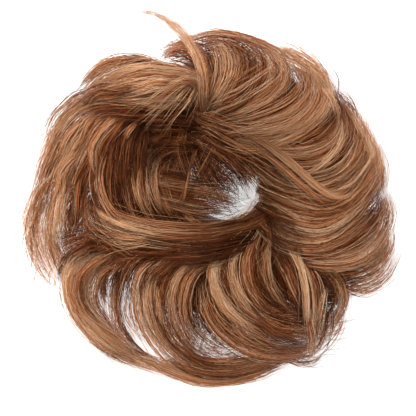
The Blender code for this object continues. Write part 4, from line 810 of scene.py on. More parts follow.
LOCKS["lower_left_loops"] = (
    ("loop", (5, 5.4, 4.8), 0.92, 1, (0.7, 0.75, 0.6, 0.45, 0.35, 0.28, 0.25),
     (112, 248, 92, 251, 77, 261, 68, 276, 68, 292, 76, 310, 90, 328, 108, 342, 130, 353, 152, 362,
      172, 369)),
    ("loop gold", (3, 5.5, 5), 0.97, 1, (0.6, 0.78, 0.72, 0.6, 0.5, 0.42),
     (90, 256, 76, 268, 72, 284, 77, 302, 88, 319, 103, 334, 121, 345, 140, 355)),
    ("loop pale edge", (2, 3, 3), 0.95, 1.5, (0.5, 0.45, 0.38, 0.32, 0.28),
     (84, 250, 73, 261, 69, 277, 72, 294, 81, 311, 94, 328, 111, 342, 130, 353)),
    ("outer loop", (2, 3, 2.6), 0.8, 1, (0.4, 0.3, 0.22, 0.2, 0.2, 0.2, 0.2),
     (72, 284, 76, 306, 87, 327, 102, 344, 121, 356, 143, 365, 164, 372, 186, 380)),
    ("loop second", (5, 5.9, 4.8), 0.95, 1, (0.75, 0.82, 0.7, 0.52, 0.42, 0.35),
     (120, 252, 100, 259, 86, 271, 80, 287, 83, 304, 93, 320, 108, 335, 128, 348, 146, 358)),
    ("loop dark", (4, 5.4, 4.8), 0.6, 0.6, (0.75, 0.82, 0.68, 0.5, 0.38, 0.3),
     (128, 256, 108, 263, 97, 276, 92, 292, 95, 308, 104, 323, 117, 337, 134, 349, 150, 358)),
    ("loop thin gold", (1, 1.8, 1.2), 0.78, 1, (0.85, 0.92, 0.85, 0.7),
     (116, 252, 100, 260, 90, 272, 84, 286)),
    ("see-through hair", (6, 8, 6.5), 0.95, 0.5, (0.6, 0.5, 0.4, 0.3, 0.25),
     (126, 262, 114, 278, 109, 298, 111, 318, 119, 334, 132, 350)),
    ("thin loop", (1.2, 1.6, 1.4), 0.36, 1, (0.7, 0.6, 0.5, 0.4, 0.3, 0.25),
     (134, 264, 124, 284, 119, 304, 120, 322, 127, 337, 140, 351, 158, 362, 180, 371)),
    ("lens edge lock", (4, 4.5, 4.5), 0.84, 1, (0.62, 0.78, 0.72, 0.55, 0.4, 0.3, 0.25),
     (169, 246, 153, 256, 143, 270, 138, 288, 138, 306, 143, 325, 152, 342, 166, 358, 185, 371, 209, 381)),
    ("deep loop 1", (4, 5, 4), 0.9, 0.4, (0.64, 0.82, 0.78, 0.6, 0.42, 0.3),
     (176, 248, 160, 260, 150, 276, 146, 294, 148, 312, 155, 330, 167, 347, 186, 363, 214, 376)),
    ("deep loop 2", (4, 5, 4), 0.62, 0.85, (0.8, 0.92, 0.8, 0.62, 0.44, 0.32),
     (186, 250, 166, 262, 155, 279, 152, 298, 155, 318, 164, 337, 180, 354, 204, 367, 232, 374)),
    ("deep loop 3", (4, 5, 4), 0.38, 1, (0.8, 0.95, 0.85, 0.65, 0.46, 0.34),
     (196, 252, 177, 264, 166, 281, 162, 300, 165, 320, 174, 339, 190, 355, 214, 367, 240, 372)),
    ("deep loop 4", (4, 5, 4), 0.82, 1.3, (0.85, 1, 0.88, 0.7, 0.48, 0.36),
     (206, 254, 187, 267, 176, 284, 172, 303, 175, 322, 183, 339, 197, 354, 218, 365)),
    ("deep loop 5", (4, 5, 4), 0.58, 1.5, (0.85, 1, 0.9, 0.72, 0.5, 0.4),
     (214, 257, 199, 268, 189, 284, 185, 302, 187, 318, 193, 333, 204, 347, 220, 358)),
    # Painted shade under the band, over the loops' roots
    ("loop shadow", (4, 5, 4), 0.13, 1.6, (0.88, 0.98, 0.95, 0.85),
     (205, 258, 182, 262, 166, 272, 156, 286)),
    ("bottom rim", (5, 6.3, 5.7), 0.76, 1, (0.35, 0.32, 0.3, 0.3, 0.3),
     (140, 352, 166, 364, 192, 373, 220, 376, 248, 370, 272, 359, 296, 350, 318, 341)),
    ("bottom rim fill", (5, 7, 6), 0.54, 1, (0.4, 0.4, 0.36, 0.34, 0.32),
     (158, 346, 184, 361, 212, 368, 240, 367, 266, 359, 294, 349, 318, 339)),
    ("bottom rim pale", (2.5, 3.2, 3), 0.86, 1.5, (0.3, 0.28, 0.25, 0.25, 0.25),
     (128, 353, 150, 364, 172, 372, 192, 379, 212, 382, 234, 379, 254, 371, 275, 361, 297, 352, 318, 342)),
    ("loop under", (12, 16, 8), 0.38, 0.4, (0.5, 0.6, 0.5, 0.35, 0.3),
     (200, 254, 170, 270, 158, 300, 172, 336, 204, 362)),
    ("left loop under", (7.5, 10, 5), 0.4, 0.24, (0.5, 0.45, 0.35, 0.3),
     (112, 254, 82, 272, 84, 304, 112, 338)),
    ("loop body", (5, 6.3, 5.7), 0.84, 0.65, (0.6, 0.65, 0.55, 0.42, 0.35, 0.3),
     (110, 256, 92, 264, 80, 278, 76, 294, 82, 312, 94, 328, 110, 341, 130, 352, 150, 361)),
    ("see-through hair 2", (4, 5.5, 4), 0.78, 0.4, (0.6, 0.5, 0.4, 0.3, 0.25),
     (130, 258, 117, 276, 110, 296, 111, 316, 119, 333, 133, 350)),
    ("deep loop line", (1.2, 2, 1.6), 0.18, 1, (0.9, 1.02, 0.9, 0.68, 0.5),
     (192, 250, 172, 262, 161, 280, 158, 300, 161, 320, 171, 338)),
    ("deep loop gold", (1.5, 2.4, 2), 0.9, 1, (0.68, 0.88, 0.9, 0.68, 0.48, 0.36),
     (182, 248, 162, 260, 151, 277, 148, 296, 151, 316, 160, 334, 175, 350, 196, 362)),
    ("bottom rim red", (5, 5.4, 4.8), 0.68, 1, (0.45, 0.42, 0.38, 0.35, 0.32),
     (166, 338, 182, 353, 204, 363, 232, 367, 258, 362, 288, 353, 316, 341)),
    ("root fill", (8, 10, 8), 0.36, 1, (0.85, 0.85, 0.8, 0.7), (150, 252, 126, 254, 106, 258, 90, 264)),
    ("gap top fill", (5, 7, 5), 0.34, 2, (0.85, 0.84, 0.72, 0.58, 0.45),
     (152, 252, 136, 261, 128, 273, 125, 288, 124, 302)),
    ("loop dark line", (1.5, 3, 2.4), 0.5, 1, (0.9, 0.98, 0.9, 0.76, 0.62, 0.5),
     (116, 252, 97, 259, 84, 271, 78, 288, 82, 306, 93, 322, 110, 338)),
    ("loop red", (2, 3, 2.4), 0.46, 1, (0.82, 0.88, 0.78, 0.6, 0.48),
     (124, 253, 105, 260, 93, 273, 88, 290, 92, 307, 103, 322)),
    ("loop inner", (4, 6, 4), 0.42, 0.55, (0.84, 0.9, 0.78, 0.6, 0.48, 0.4),
     (134, 256, 116, 263, 104, 275, 97, 290, 98, 306, 106, 322)),
    ("loop cream", (2, 4.2, 3.6), 1, 2.2, (0.6, 0.64, 0.62, 0.54, 0.44),
     (72, 296, 79, 313, 91, 328, 106, 341, 124, 352)),
    ("gap end fill", (3, 6, 5), 0.62, 1, (0.32, 0.3, 0.3, 0.3), (116, 343, 136, 355, 158, 364, 182, 371)),
    # Painted shade: this row and under band shadow 2 and 3 below stand for the shadow under the band
    ("under band shadow", (5, 9, 6), 0.13, 1.6, (0.95, 1.16, 1.22, 1.14, 0.95),
     (254, 238, 228, 246, 200, 249, 172, 252, 146, 257)),
    ("loop edge fill", (3, 4.5, 4), 0.52, 2, (0.28, 0.25, 0.25, 0.25, 0.25),
     (80, 316, 91, 333, 105, 346, 123, 356, 145, 363)),
    ("loop root fill", (5, 8, 6), 0.28, 1.3, (0.8, 0.72, 0.6, 0.5, 0.42),
     (104, 246, 86, 250, 72, 259, 65, 273, 65, 289)),
    ("under band shadow 2", (4, 8, 6), 0.13, 0.9, (0.85, 1, 1.02, 0.95, 0.85),
     (246, 246, 222, 254, 196, 259, 172, 264, 155, 273)),
    ("loop outer edge", (2, 3, 2), 0.6, 1, (0.3, 0.3, 0.3, 0.3),
     (74, 312, 82, 327, 92, 339, 104, 348, 120, 355, 138, 361, 156, 366)),
    ("under band shadow 3", (3, 6, 4), 0.13, 1.2, (0.95, 1.05, 1, 0.85),
     (188, 252, 170, 261, 154, 274, 141, 292)),
    ("see-through hair 3", (3, 4, 3), 0.62, 3, (0.5, 0.52, 0.5, 0.45),
     (109, 262, 102, 278, 101, 294, 105, 310)),
    ("gap lower dark", (2.5, 4, 3), 0.2, 1, (0.55, 0.58, 0.55, 0.5),
     (176, 352, 192, 362, 212, 368, 236, 369, 256, 363)),
    ("gap 1 top fill", (3, 5, 3), 0.3, 1.3, (0.8, 0.76, 0.7, 0.6),
     (135, 257, 127, 269, 123, 281, 121, 293)),
    ("loop pale strip", (2, 3.5, 2.4), 0.92, 0.8, (0.95, 1.02, 0.97, 0.85),
     (158, 284, 156, 298, 157, 312, 161, 328)),
    ("joint fill", (2, 3, 2), 0.5, 1, (0.3, 0.3, 0.3, 0.3), (136, 359, 148, 365, 160, 370, 172, 371)),
    # Painted shade under the band's left end
    ("loop 2 root dark", (3, 5, 3), 0.2, 1, (0.9, 1, 0.95, 0.85), (160, 261, 148, 271, 140, 286, 138, 302)),
)

# Single hairs that have come loose: the same values as for a lock, but with their number in place of how
# thick with strands they are
LOOSE_HAIRS = (
    ("swoop fan a", (1.5, 8, 18), 0.95, 22, (0.99, 1.3, 1.23, 1.04, 0.86),
     (197, 78, 180, 90, 164, 104, 148, 118, 134, 133)),
    ("swoop fan b", (1.5, 7, 15), 0.95, 20, (0.99, 1.3, 1.17, 0.95, 0.78),
     (198, 80, 186, 96, 174, 112, 163, 126, 152, 140)),
    ("swoop fan c", (1.2, 5, 9), 0.95, 5, (0.99, 1.24, 1.07, 0.84, 0.7),
     (200, 82, 193, 98, 186, 112, 180, 126, 174, 138)),
    ("fan tips", (2, 8, 14), 0.42, 90, (0.76, 0.81, 0.83, 0.86),
     (197, 140, 220, 150, 242, 164, 258, 182, 266, 200)),
    ("fan tips low", (2, 8, 13), 0.4, 50, (0.73, 0.76, 0.71, 0.8),
     (197, 144, 213, 158, 230, 174, 244, 192, 252, 212)),
    ("over hole", (3, 9, 12), 0.4, 26, (0.58, 0.61, 0.6, 0.71),
     (192, 150, 206, 170, 222, 190, 238, 208, 254, 224)),
    ("hole net", (4, 12, 14), 0.44, 40, (0.82, 0.82, 0.78, 0.83),
     (186, 140, 190, 158, 196, 178, 206, 198, 222, 218)),
    ("hole net back", (4, 12, 16), 0.42, 34, (0.82, 0.83, 0.78, 0.85),
     (214, 146, 206, 160, 196, 176, 184, 194, 174, 214)),
    ("hole right edge", (6, 5, 6), 0.6, 66, (0.65, 0.69, 0.71, 0.69),
     (258, 146, 264, 164, 266, 184, 262, 204, 250, 222)),
    ("hole lower edge", (4, 5, 5), 0.95, 60, (0.62, 0.68, 0.7, 0.68),
     (196, 222, 216, 226, 238, 222, 256, 210, 268, 190)),
    ("hole lower arc", (3, 6, 6), 0.95, 40, (0.7, 0.72, 0.7, 0.679),
     (206, 232, 226, 230, 246, 220, 260, 204, 270, 182)),
    ("across the hole", (5, 9, 9), 0.4, 26, (0.58, 0.57, 0.62, 0.69),
     (192, 200, 210, 206, 230, 208, 250, 206, 268, 198)),
    ("band strays", (6, 12, 10), 0.78, 30, (0.83, 0.95, 0.91, 0.83),
     (82, 206, 104, 224, 126, 240, 150, 252)),
    ("loop crossings", (8, 12, 8), 0.72, 34, (0.57, 0.66, 0.63, 0.59),
     (86, 224, 98, 238, 114, 252, 136, 262)),
    ("lens gap hairs", (5, 12, 10), 0.56, 58, (0.46, 0.38, 0.32, 0.27),
     (186, 312, 198, 332, 214, 346, 236, 356)),
    ("left long hairs", (2, 5, 6), 0.6, 10, (0.29, 0.21, 0.13, 0.06), (36, 240, 35, 260, 40, 278, 52, 288)),
    ("crossing strays right", (8, 14, 12), 0.62, 26, (0.93, 1, 1.13, 1.07),
     (206, 122, 232, 136, 258, 148, 282, 164, 300, 184)),
    ("lens gap hairs 2", (6, 12, 10), 0.6, 44, (0.45, 0.41, 0.38, 0.36),
     (222, 318, 214, 334, 208, 348, 204, 362)),
    ("strays top", (6, 26, 22), 0.72, 48, (0.82, 1.12, 1.12, 1.04, 0.91),
     (212, 118, 244, 104, 272, 88, 290, 70, 284, 52)),
    ("strays top 2", (6, 26, 22), 0.66, 40, (0.8, 1.1, 1.12, 1.04, 0.86),
     (220, 124, 262, 126, 296, 112, 316, 92, 314, 72)),
    ("strays right", (8, 26, 22), 0.7, 40, (0.83, 1.11, 1.06, 0.94, 0.77),
     (256, 150, 296, 170, 330, 162, 352, 140, 352, 112)),
    ("strays lower right", (8, 26, 22), 0.72, 48, (0.94, 1.11, 1.06, 0.94, 0.73),
     (266, 216, 300, 232, 336, 232, 364, 210, 374, 178)),
    ("strays bottom", (8, 22, 22), 0.78, 40, (0.91, 1.08, 1.03, 0.91, 0.71),
     (258, 232, 236, 256, 234, 288, 258, 320, 300, 338)),
    ("strays loops", (8, 26, 26), 0.66, 48, (0.68, 0.75, 0.65, 0.52, 0.34),
     (196, 252, 160, 270, 146, 300, 158, 336, 200, 366)),
    ("strays left loops", (8, 22, 20), 0.74, 32, (0.53, 0.56, 0.48, 0.36, 0.27),
     (120, 252, 88, 268, 80, 300, 102, 336, 144, 358)),
    ("strays band", (10, 12, 10), 0.76, 40, (0.82, 0.99, 1.01, 0.94, 0.84),
     (78, 216, 110, 226, 160, 236, 220, 236, 262, 214)),
    ("strays swirl", (10, 26, 24), 0.62, 48, (0.36, 0.68, 0.85, 0.87, 0.79),
     (186, 136, 152, 150, 136, 180, 146, 212, 176, 236)),
    ("strays fall", (10, 26, 24), 0.76, 40, (0.72, 0.81, 0.72, 0.54, 0.35),
     (126, 106, 92, 122, 70, 152, 56, 190, 48, 230)),
    ("strays swoop", (5, 16, 16), 0.86, 32, (0.99, 1.28, 1.22, 1.03, 0.77),
     (196, 80, 160, 76, 126, 80, 100, 92, 78, 108)),
    ("lens gap fill", (5, 12, 12), 0.5, 56, (0.36, 0.32, 0.31, 0.29),
     (198, 344, 212, 354, 228, 358, 248, 358)),
    ("lens gap 1 hairs", (4, 8, 6), 0.6, 44, (0.41, 0.34, 0.29, 0.27),
     (130, 284, 127, 306, 131, 326, 142, 346)),
    ("fuzz lower right", (3, 12, 18), 0.55, 16, (0.32, 0.25, 0.18, 0.14),
     (304, 330, 320, 338, 338, 338, 354, 330)),
    ("fuzz bottom", (3, 10, 16), 0.6, 14, (0.27, 0.23, 0.18, 0.14),
     (286, 352, 300, 358, 316, 360, 332, 354)),
    ("fuzz lower left", (3, 10, 14), 0.6, 14, (0.27, 0.23, 0.18, 0.14),
     (60, 262, 50, 276, 52, 292, 64, 304)),
    ("fuzz left", (3, 8, 12), 0.7, 14, (0.45, 0.38, 0.27, 0.18), (66, 120, 50, 142, 40, 168, 30, 196)),
    ("fuzz top right", (3, 8, 10), 0.66, 12, (0.54, 0.5, 0.449, 0.41),
     (300, 60, 318, 66, 334, 80, 346, 96)),
    ("fuzz swoop", (3, 8, 10), 0.8, 12, (0.81, 0.99, 0.9, 0.77), (186, 66, 166, 58, 146, 54, 128, 56)),
)


class HairpieceHair(bpy.types.PropertyGroup):
    """Sizes and colours of the hair."""

    reach: bpy.props.FloatProperty(
        name="Reach", description="Distance from the band's middle to the longest locks",
        default=HAIR_REACH, unit="LENGTH",
    )
    height: bpy.props.FloatProperty(
        name="Height", description="Height that the lifts of the locks are shares of",
        default=HAIR_HEIGHT, unit="LENGTH",
    )
    strand_width: bpy.props.FloatProperty(
        name="Strand width", description="Width of one strand at its middle",
        default=0.00021, unit="LENGTH",
    )
    ring_step: bpy.props.FloatProperty(
        name="Ring step", description="Longest distance between the rings along a strand",
        default=0.014, unit="LENGTH",
    )
    flatness: bpy.props.FloatProperty(
        name="Flatness", description="How far a strand may cut the corner between two rings",
        default=0.00052, unit="LENGTH",
    )
    share: bpy.props.FloatProperty(
        name="Strand share", description="Share of the strands that are made",
        default=1.0, subtype="FACTOR",
    )
    lock_depth: bpy.props.FloatProperty(
        name="Lock depth", description="Depth of a lock as a share of its width",
        default=0.65, subtype="FACTOR",
    )
    wave: bpy.props.FloatProperty(
        name="Wave", description="How far a clump sways off its lock's route",
        default=0.0005, unit="LENGTH",
    )
    frizz: bpy.props.FloatProperty(
        name="Frizz", description="How far a strand sways off its clump", default=0.00032, unit="LENGTH",
    )
    stray_share: bpy.props.FloatProperty(
        name="Stray share", description="Share of the strands that leave their lock",
        default=0.11, subtype="FACTOR",
    )
    roughness: bpy.props.FloatProperty(
        name="Roughness", description="How matt the fibres are", default=0.38, subtype="FACTOR",
    )


class HairpieceBand(bpy.types.PropertyGroup):
    """Sizes and colours of the elastic band."""

    ribs: bpy.props.IntProperty(name="Ribs", description="Number of gathers round the band", default=72)
    rib_depth: bpy.props.FloatProperty(
        name="Rib depth", description="Share of the thickness that is lost between the ribs",
        default=0.12, subtype="FACTOR",
    )
    colour: bpy.props.FloatVectorProperty(
        name="Colour", description="Colour of the elastic's cover",
        default=(0.045, 0.022, 0.014), subtype="COLOR",
    )


class HairpieceStage(bpy.types.PropertyGroup):
    """Floor, lights and camera."""

    floor_colour: bpy.props.FloatVectorProperty(
        name="Floor colour", description="Colour of the floor",
        default=(0.9, 0.9, 0.9), subtype="COLOR",
    )
    floor_glow: bpy.props.FloatProperty(
        name="Floor glow", description="Light that the pale floor gives of itself", default=0.84,
    )
    sky: bpy.props.FloatProperty(
        name="Surrounding light", description="Strength of the even light from all round", default=0.40,
    )
    key_power: bpy.props.FloatProperty(
        name="Key light", description="Power of the large soft light", default=7.5, unit="POWER",
    )
    top_power: bpy.props.FloatProperty(
        name="Top light", description="Power of the light straight above", default=2.5, unit="POWER",
    )
    camera_height: bpy.props.FloatProperty(
        name="Camera height", description="Height of the camera over the floor",
        default=CAMERA_HEIGHT, unit="LENGTH",
    )
    view_width: bpy.props.FloatProperty(
        name="View width", description="Width of the view at the hair", default=0.183, unit="LENGTH",
    )


def smooth_route(stations, ways):
    """Read a smooth curve through evenly spaced stations, at ways between 0 and 1."""
    first = 2 * stations[0] - stations[1]
    last = 2 * stations[-1] - stations[-2]
    knots = np.vstack([first, stations, last])
    place = np.clip(ways, 0, 1) * (len(stations) - 1)
    start = np.minimum(place.astype(int), len(stations) - 2)
    t = (place - start)[..., None]
    a, b, c, d = (knots[start + step] for step in range(4))
    square = (2 * a - 5 * b + 4 * c - d) * t ** 2
    cube = (3 * b - a - 3 * c + d) * t ** 3
    return 0.5 * (2 * b + (c - a) * t + square + cube)


def route_stations(points, lifts, count):
    """Turn points in the photo into evenly spaced stations, in whole degrees and hundredths of the shares.

    Hair that lies high is nearer to the camera, and so looks further from the photo's middle than it is.
    The length of the route is given too, in millimetres.
    """
    line = smooth_route(np.array(points, dtype=float).reshape(-1, 2), np.linspace(0, 1, ROUTE_READINGS))
    ways = np.append(0, np.cumsum(np.hypot(*np.diff(line, axis=0).T)))
    places = np.linspace(0, ways[-1], count)
    raised = smooth_route(np.array(lifts, dtype=float)[:, None], np.linspace(0, 1, count))[:, 0]
    nearness = (CAMERA_HEIGHT - VIEW_HEIGHT) / (CAMERA_HEIGHT - raised * HAIR_HEIGHT)
    right = (np.interp(places, ways, line[:, 0]) - PHOTO_MIDDLE) / nearness + PHOTO_MIDDLE - BAND_PIXEL[0]
    up = (PHOTO_MIDDLE - np.interp(places, ways, line[:, 1])) / nearness + BAND_PIXEL[1] - PHOTO_MIDDLE
    angles = np.degrees(np.unwrap(np.arctan2(up, right)))
    reaches = (np.hypot(right, up) * PIXEL_SIZE - HOLE_RADIUS) / (HAIR_REACH - HOLE_RADIUS)
    stations = [
        (round(angle), round(reach, 2), round(lift, 2)) for angle, reach, lift in zip(angles, reaches, raised)
    ]
    return np.array(stations, dtype=float), ways[-1] * PIXEL_SIZE * MILLIMETRES


def strand_count(widths, density, length):
    """Work out how many strands a lock has from its widths and its length in millimetres."""
    root, middle, tip = widths
    return max(FEWEST_STRANDS, round((root + 2 * middle + tip) * length * STRAND_DENSITY * density))


def placed(polar, hair):
    """Turn angles, reaches and lifts into points in metres."""
    turn = np.radians(polar[..., 0])
    radius = HOLE_RADIUS + polar[..., 1] * (hair.reach - HOLE_RADIUS)
    points = np.empty(polar.shape)
    points[..., 0] = BAND_MIDDLE.x + radius * np.cos(turn)
    points[..., 1] = BAND_MIDDLE.y + radius * np.sin(turn)
    points[..., 2] = polar[..., 2] * hair.height
    return points


def unit(vectors):
    """Give vectors a length of one."""
    return vectors / np.maximum(np.linalg.norm(vectors, axis=-1, keepdims=True), 1e-12)


def across(points):
    """Give the sideways and upward directions along each strand."""
    along = unit(np.gradient(points, axis=1))
    sideways = unit(np.cross(along, [0.0, 0.0, 1.0]) + 1e-6)
    return sideways, np.cross(sideways, along)


def ring_steps(stations, hair):
    """Place the rings along a route so that they lie closer together where it bends more."""
    ways = np.linspace(0, 1, RING_READINGS)
    parts = np.diff(placed(smooth_route(stations, ways), hair), axis=0)
    lengths = np.linalg.norm(parts, axis=1)
    bends = np.linalg.norm(np.diff(unit(parts), axis=0), axis=1)
    bends = np.append(bends, bends[-1])
    need = np.maximum(np.sqrt(bends * lengths / (8 * hair.flatness)), lengths / hair.ring_step)
    rings = int(np.clip(math.ceil(need.sum()) + SPARE_RINGS, *RING_LIMITS))
    return np.interp(np.linspace(0, 1, rings), np.append(0, np.cumsum(need)) / need.sum(), ways)


def strand_ways(count, clump, clumps, sewn, steps, random):
    """Give each strand its own stretch of the route, clump by clump: the way along it of every ring."""
    ends = 1 - TIP_FREE[0] * random.random(clumps) ** 2
    end = np.clip(ends[clump] - TIP_FREE[1] * random.random(count), SHORTEST_STRAND, 1.0)
    start = ROOT_SPREAD * random.random(count)
    if not sewn:
        start = start + (ROOT_FREE[0] * random.random(clumps))[clump] + ROOT_FREE[1] * random.random(count)
    return start[:, None] + (end - start)[:, None] * steps


def lock_section(ways, count, clump, clumps, random):
    """Place each strand in its lock's section: how far aside and above it is, as shares of the half sizes."""
    aside = random.uniform(-CLUMP_ASIDE, CLUMP_ASIDE, clumps)
    above = np.sqrt(1 - aside ** 2) * random.uniform(*CLUMP_ABOVE, clumps)
    drift = random.normal(0, CLUMP_DRIFT, (2, clumps, 1))
    twist = np.radians(random.uniform(-LOCK_TWIST, LOCK_TWIST)) * ways
    aside = aside[clump, None] + drift[0][clump] * ways
    above = above[clump, None] + drift[1][clump] * ways
    turned = aside * np.cos(twist) - above * np.sin(twist)
    above = aside * np.sin(twist) + above * np.cos(twist)
    aside = turned
    spread = random.uniform(*CLUMP_SPREADS, clumps)[clump, None]
    for part in (aside, above):
        part += spread * (random.normal(0, 1, (count, 1)) + random.normal(0, TIP_SPREAD, (count, 1)) * ways)
    return aside, above


def strand_tones(tone, aside, above, count, clump, clumps, random):
    """Give each strand its tone, with painted light where it lies on top of its lock or at its middle and

    painted shade where it lies deeper in it or at a side.
    """
    shades = tone + random.normal(0, CLUMP_TONES, clumps)[clump] + random.normal(0, STRAND_TONES, count)
    paler, darker = random.random(count) < ODD_SHARE, random.random(count) < ODD_SHARE
    shades = shades + np.select((paler, darker), (ODD_TONE, -ODD_TONE), 0.0)
    # Painted light on the upper and middle strands, painted shade on the lower and side ones
    shades = shades + UPPER_PAINTED_LIGHT * (np.clip(above.mean(axis=1), *UPPER_RANGE) - UPPER_MIDDLE)
    shades = shades + SIDE_PAINTED_SHADE * (SIDE_MIDDLE - np.clip(np.abs(aside).mean(axis=1), 0, SIDE_LIMIT))
    shades = TONE_RANGE[1] - np.abs(TONE_RANGE[1] - shades)
    return np.clip(TONE_RANGE[0] + np.abs(shades - TONE_RANGE[0]), *TONE_RANGE)


def lock_strands(widths, tone, count, stations, hair, random, clump_size=STRANDS_PER_CLUMP, sway_size=1.0):
    """Lay out the strands of one lock: their points, radii, tones and heights on the map."""
    sewn = stations[0, 1] < SEWN_REACH
    if sewn:
        root = stations[0] * (1.0, SEWN_REACH_SHARE, 0.0)
        root = root + (0.0, SEWN_REACH_MORE, BAND_MIDDLE.z / hair.height)
        stations = np.vstack([root, stations])
    steps = ring_steps(stations, hair)
    count = max(FEWEST_LEFT, round(count * hair.share))
    clumps = max(1, round(count / clump_size))
    clump = np.sort(random.integers(0, clumps, count))
    ways = strand_ways(count, clump, clumps, sewn, steps, random)
    middle = placed(smooth_route(stations, ways), hair)
    sideways, upward = across(middle)
    half_width = np.interp(ways, WIDTH_STEPS, np.array(widths)[list(WIDTH_ORDER)]) / (2 * MILLIMETRES)
    half_depth = np.minimum(half_width * hair.lock_depth, DEEPEST_HALF)
    aside, above = lock_section(ways, count, clump, clumps, random)
    points = middle + sideways * (aside * half_width)[..., None] + upward * (above * half_depth)[..., None]
    for size, groups, group, waves in (
        (hair.wave, clumps, clump, CLUMP_WAVES), (hair.frizz, count, np.arange(count), STRAND_WAVES),
    ):
        for direction in (sideways, upward):
            beat = random.uniform(*waves, groups)[group, None]
            phase = random.uniform(0, 2 * math.pi, groups)[group, None]
            amount = size * sway_size * random.uniform(*SWAY_SHARES, groups)[group, None]
            growth = np.clip(ways * SWAY_GROWTH, LEAST_SWAY, 1)
            sway = amount * np.sin(2 * math.pi * beat * ways + phase) * growth
            points = points + direction * sway[..., None]
    stray = random.random(count) < hair.stray_share
    away = random.uniform(-1, 1, (count, 1, 2)) * stray[:, None, None]
    away = away * (ways[..., None] ** STRAY_GROWTH) * STRAY_DISTANCE
    points = points + sideways * away[..., :1] + upward * np.abs(away[..., 1:]) * STRAY_RISE
    thick = hair.strand_width / 2 * random.uniform(*STRAND_THICKNESSES, count)[:, None]
    thick = thick * np.where(stray, STRAY_THICKNESS, 1.0)[:, None]
    radii = thick * (1 - TIP_LOSS * steps ** TIP_LOSS_GROWTH)
    if not sewn:
        radii = radii * np.clip(ROOT_THICKNESS + ROOT_GROWTH * steps, 0, 1)
    points[..., 2] = np.maximum(points[..., 2], radii + FLOOR_GAP)
    shades = strand_tones(tone, aside, above, count, clump, clumps, random)
    return points, radii, shades, map_heights(points, steps, hair, MAP_SEWN if sewn else MAP_UNSEWN)


def map_heights(points, steps, hair, first):
    """Place each ring of each strand on the map: low near the hole and the root, high far from them.

    Low places take the painted shade of the roots, and high ones the painted light of the tips.
    """
    away = np.hypot(points[..., 0] - BAND_MIDDLE.x, points[..., 1] - BAND_MIDDLE.y) - HOLE_RADIUS
    away = np.clip(away / (FAR_SHARE * (hair.reach - HOLE_RADIUS)), 0, 1)
    return first + (MAP_TOP - first) * (HEIGHT_SHARES[0] * away + HEIGHT_SHARES[1] * steps)


def strand_faces(points, radii, tones, heights):
    """Wrap strands in closed three-sided tubes that end in a point: corners, faces and their map."""
    count, rings, _ = points.shape
    sideways, upward = across(points)
    turns = np.radians(STRAND_TURNS)
    ring = (
        sideways[:, :, None] * np.cos(turns)[:, None] + upward[:, :, None] * np.sin(turns)[:, None]
    ) * radii[..., None, None]
    corners = (points[:, :, None] + ring)[:, :-1].reshape(count, -1, 3)
    corners = np.concatenate([corners, points[:, -1:]], axis=1)
    base = (np.arange(count) * corners.shape[1])[:, None, None]
    tube = []
    tube_map = []
    for level in range(rings - 2):
        for side in range(3):
            after = (side + 1) % 3
            tube.append((level * 3 + side, level * 3 + after, level * 3 + 3 + after, level * 3 + 3 + side))
            tube_map.append(((side, level), (side + 1, level), (side + 1, level + 1), (side, level + 1)))
    top = (rings - 2) * 3
    ends = [(2, 1, 0)]
    ends_map = [((2, 0), (1, 1), (0, 0))]
    for side in range(3):
        ends.append((top + side, top + (side + 1) % 3, top + 3))
        ends_map.append(((side, rings - 2), (side + 1, rings - 2), (side + 0.5, rings - 1)))
    result = []
    for faces, face_map in ((tube, tube_map), (ends, ends_map)):
        faces = np.array(faces)[None] + base
        face_map = np.array(face_map)
        flat = np.empty((count,) + face_map.shape)
        flat[..., 0] = tones[:, None, None] + (face_map[..., 0] - 1.5) * STRAND_MAP_STEP
        flat[..., 1] = heights[:, face_map[..., 1].astype(int)]
        result.append((faces.reshape(-1, faces.shape[-1]), flat.reshape(-1, 2)))
    return corners.reshape(-1, 3), result


def base_layer(sector, hair, random):
    """Lay the combed strands that cover a bundle's under-hair and run out below its locks."""
    _, low, high, _, lift, reach, tone = sector
    count = round((high - low) * BASE_STRANDS_PER_DEGREE * hair.share)
    steps = np.linspace(0, 1, BASE_RINGS)
    start = random.uniform(low - BASE_OVERLAP, high + BASE_OVERLAP, (count, 1))
    reach_here = np.interp(start, np.linspace(low, high, len(reach)), reach)
    out = steps * random.uniform(*BASE_LENGTHS, (count, 1)) * reach_here
    angles = start + BASE_SWEEP * out ** 2 - BASE_BOW * np.sin(math.pi * out)
    angles = angles + random.normal(0, BASE_SPREAD, (count, 1)) * out
    rims = np.interp(angles % 360, OUTLINE_ANGLES, OUTLINE_REACHES)
    section = np.array(BASE_SECTION)
    heights = np.interp(out, section[:, 0], section[:, 1])
    polar = np.stack([angles, BASE_INNER_REACH + out * rims, heights], axis=-1)
    lifts = np.interp(out, (0, BASE_LIFT_END, 1), (lift / BASE_LIFT, 1, 1))
    polar[..., 2] *= lifts * random.uniform(*BASE_HEIGHTS, (count, 1))
    points = placed(polar, hair)
    points = points + random.normal(0, hair.frizz, points.shape) * steps[:, None]
    radii = hair.strand_width * np.interp(steps, BASE_WIDTH_STEPS, BASE_WIDTHS) * np.ones((count, 1))
    points[..., 2] = np.maximum(points[..., 2], radii + FLOOR_GAP)
    tones = np.clip(random.normal(tone, BASE_TONE_SPREAD, count), *TONE_RANGE)
    return points, radii, tones, map_heights(points, steps, hair, MAP_SEWN)


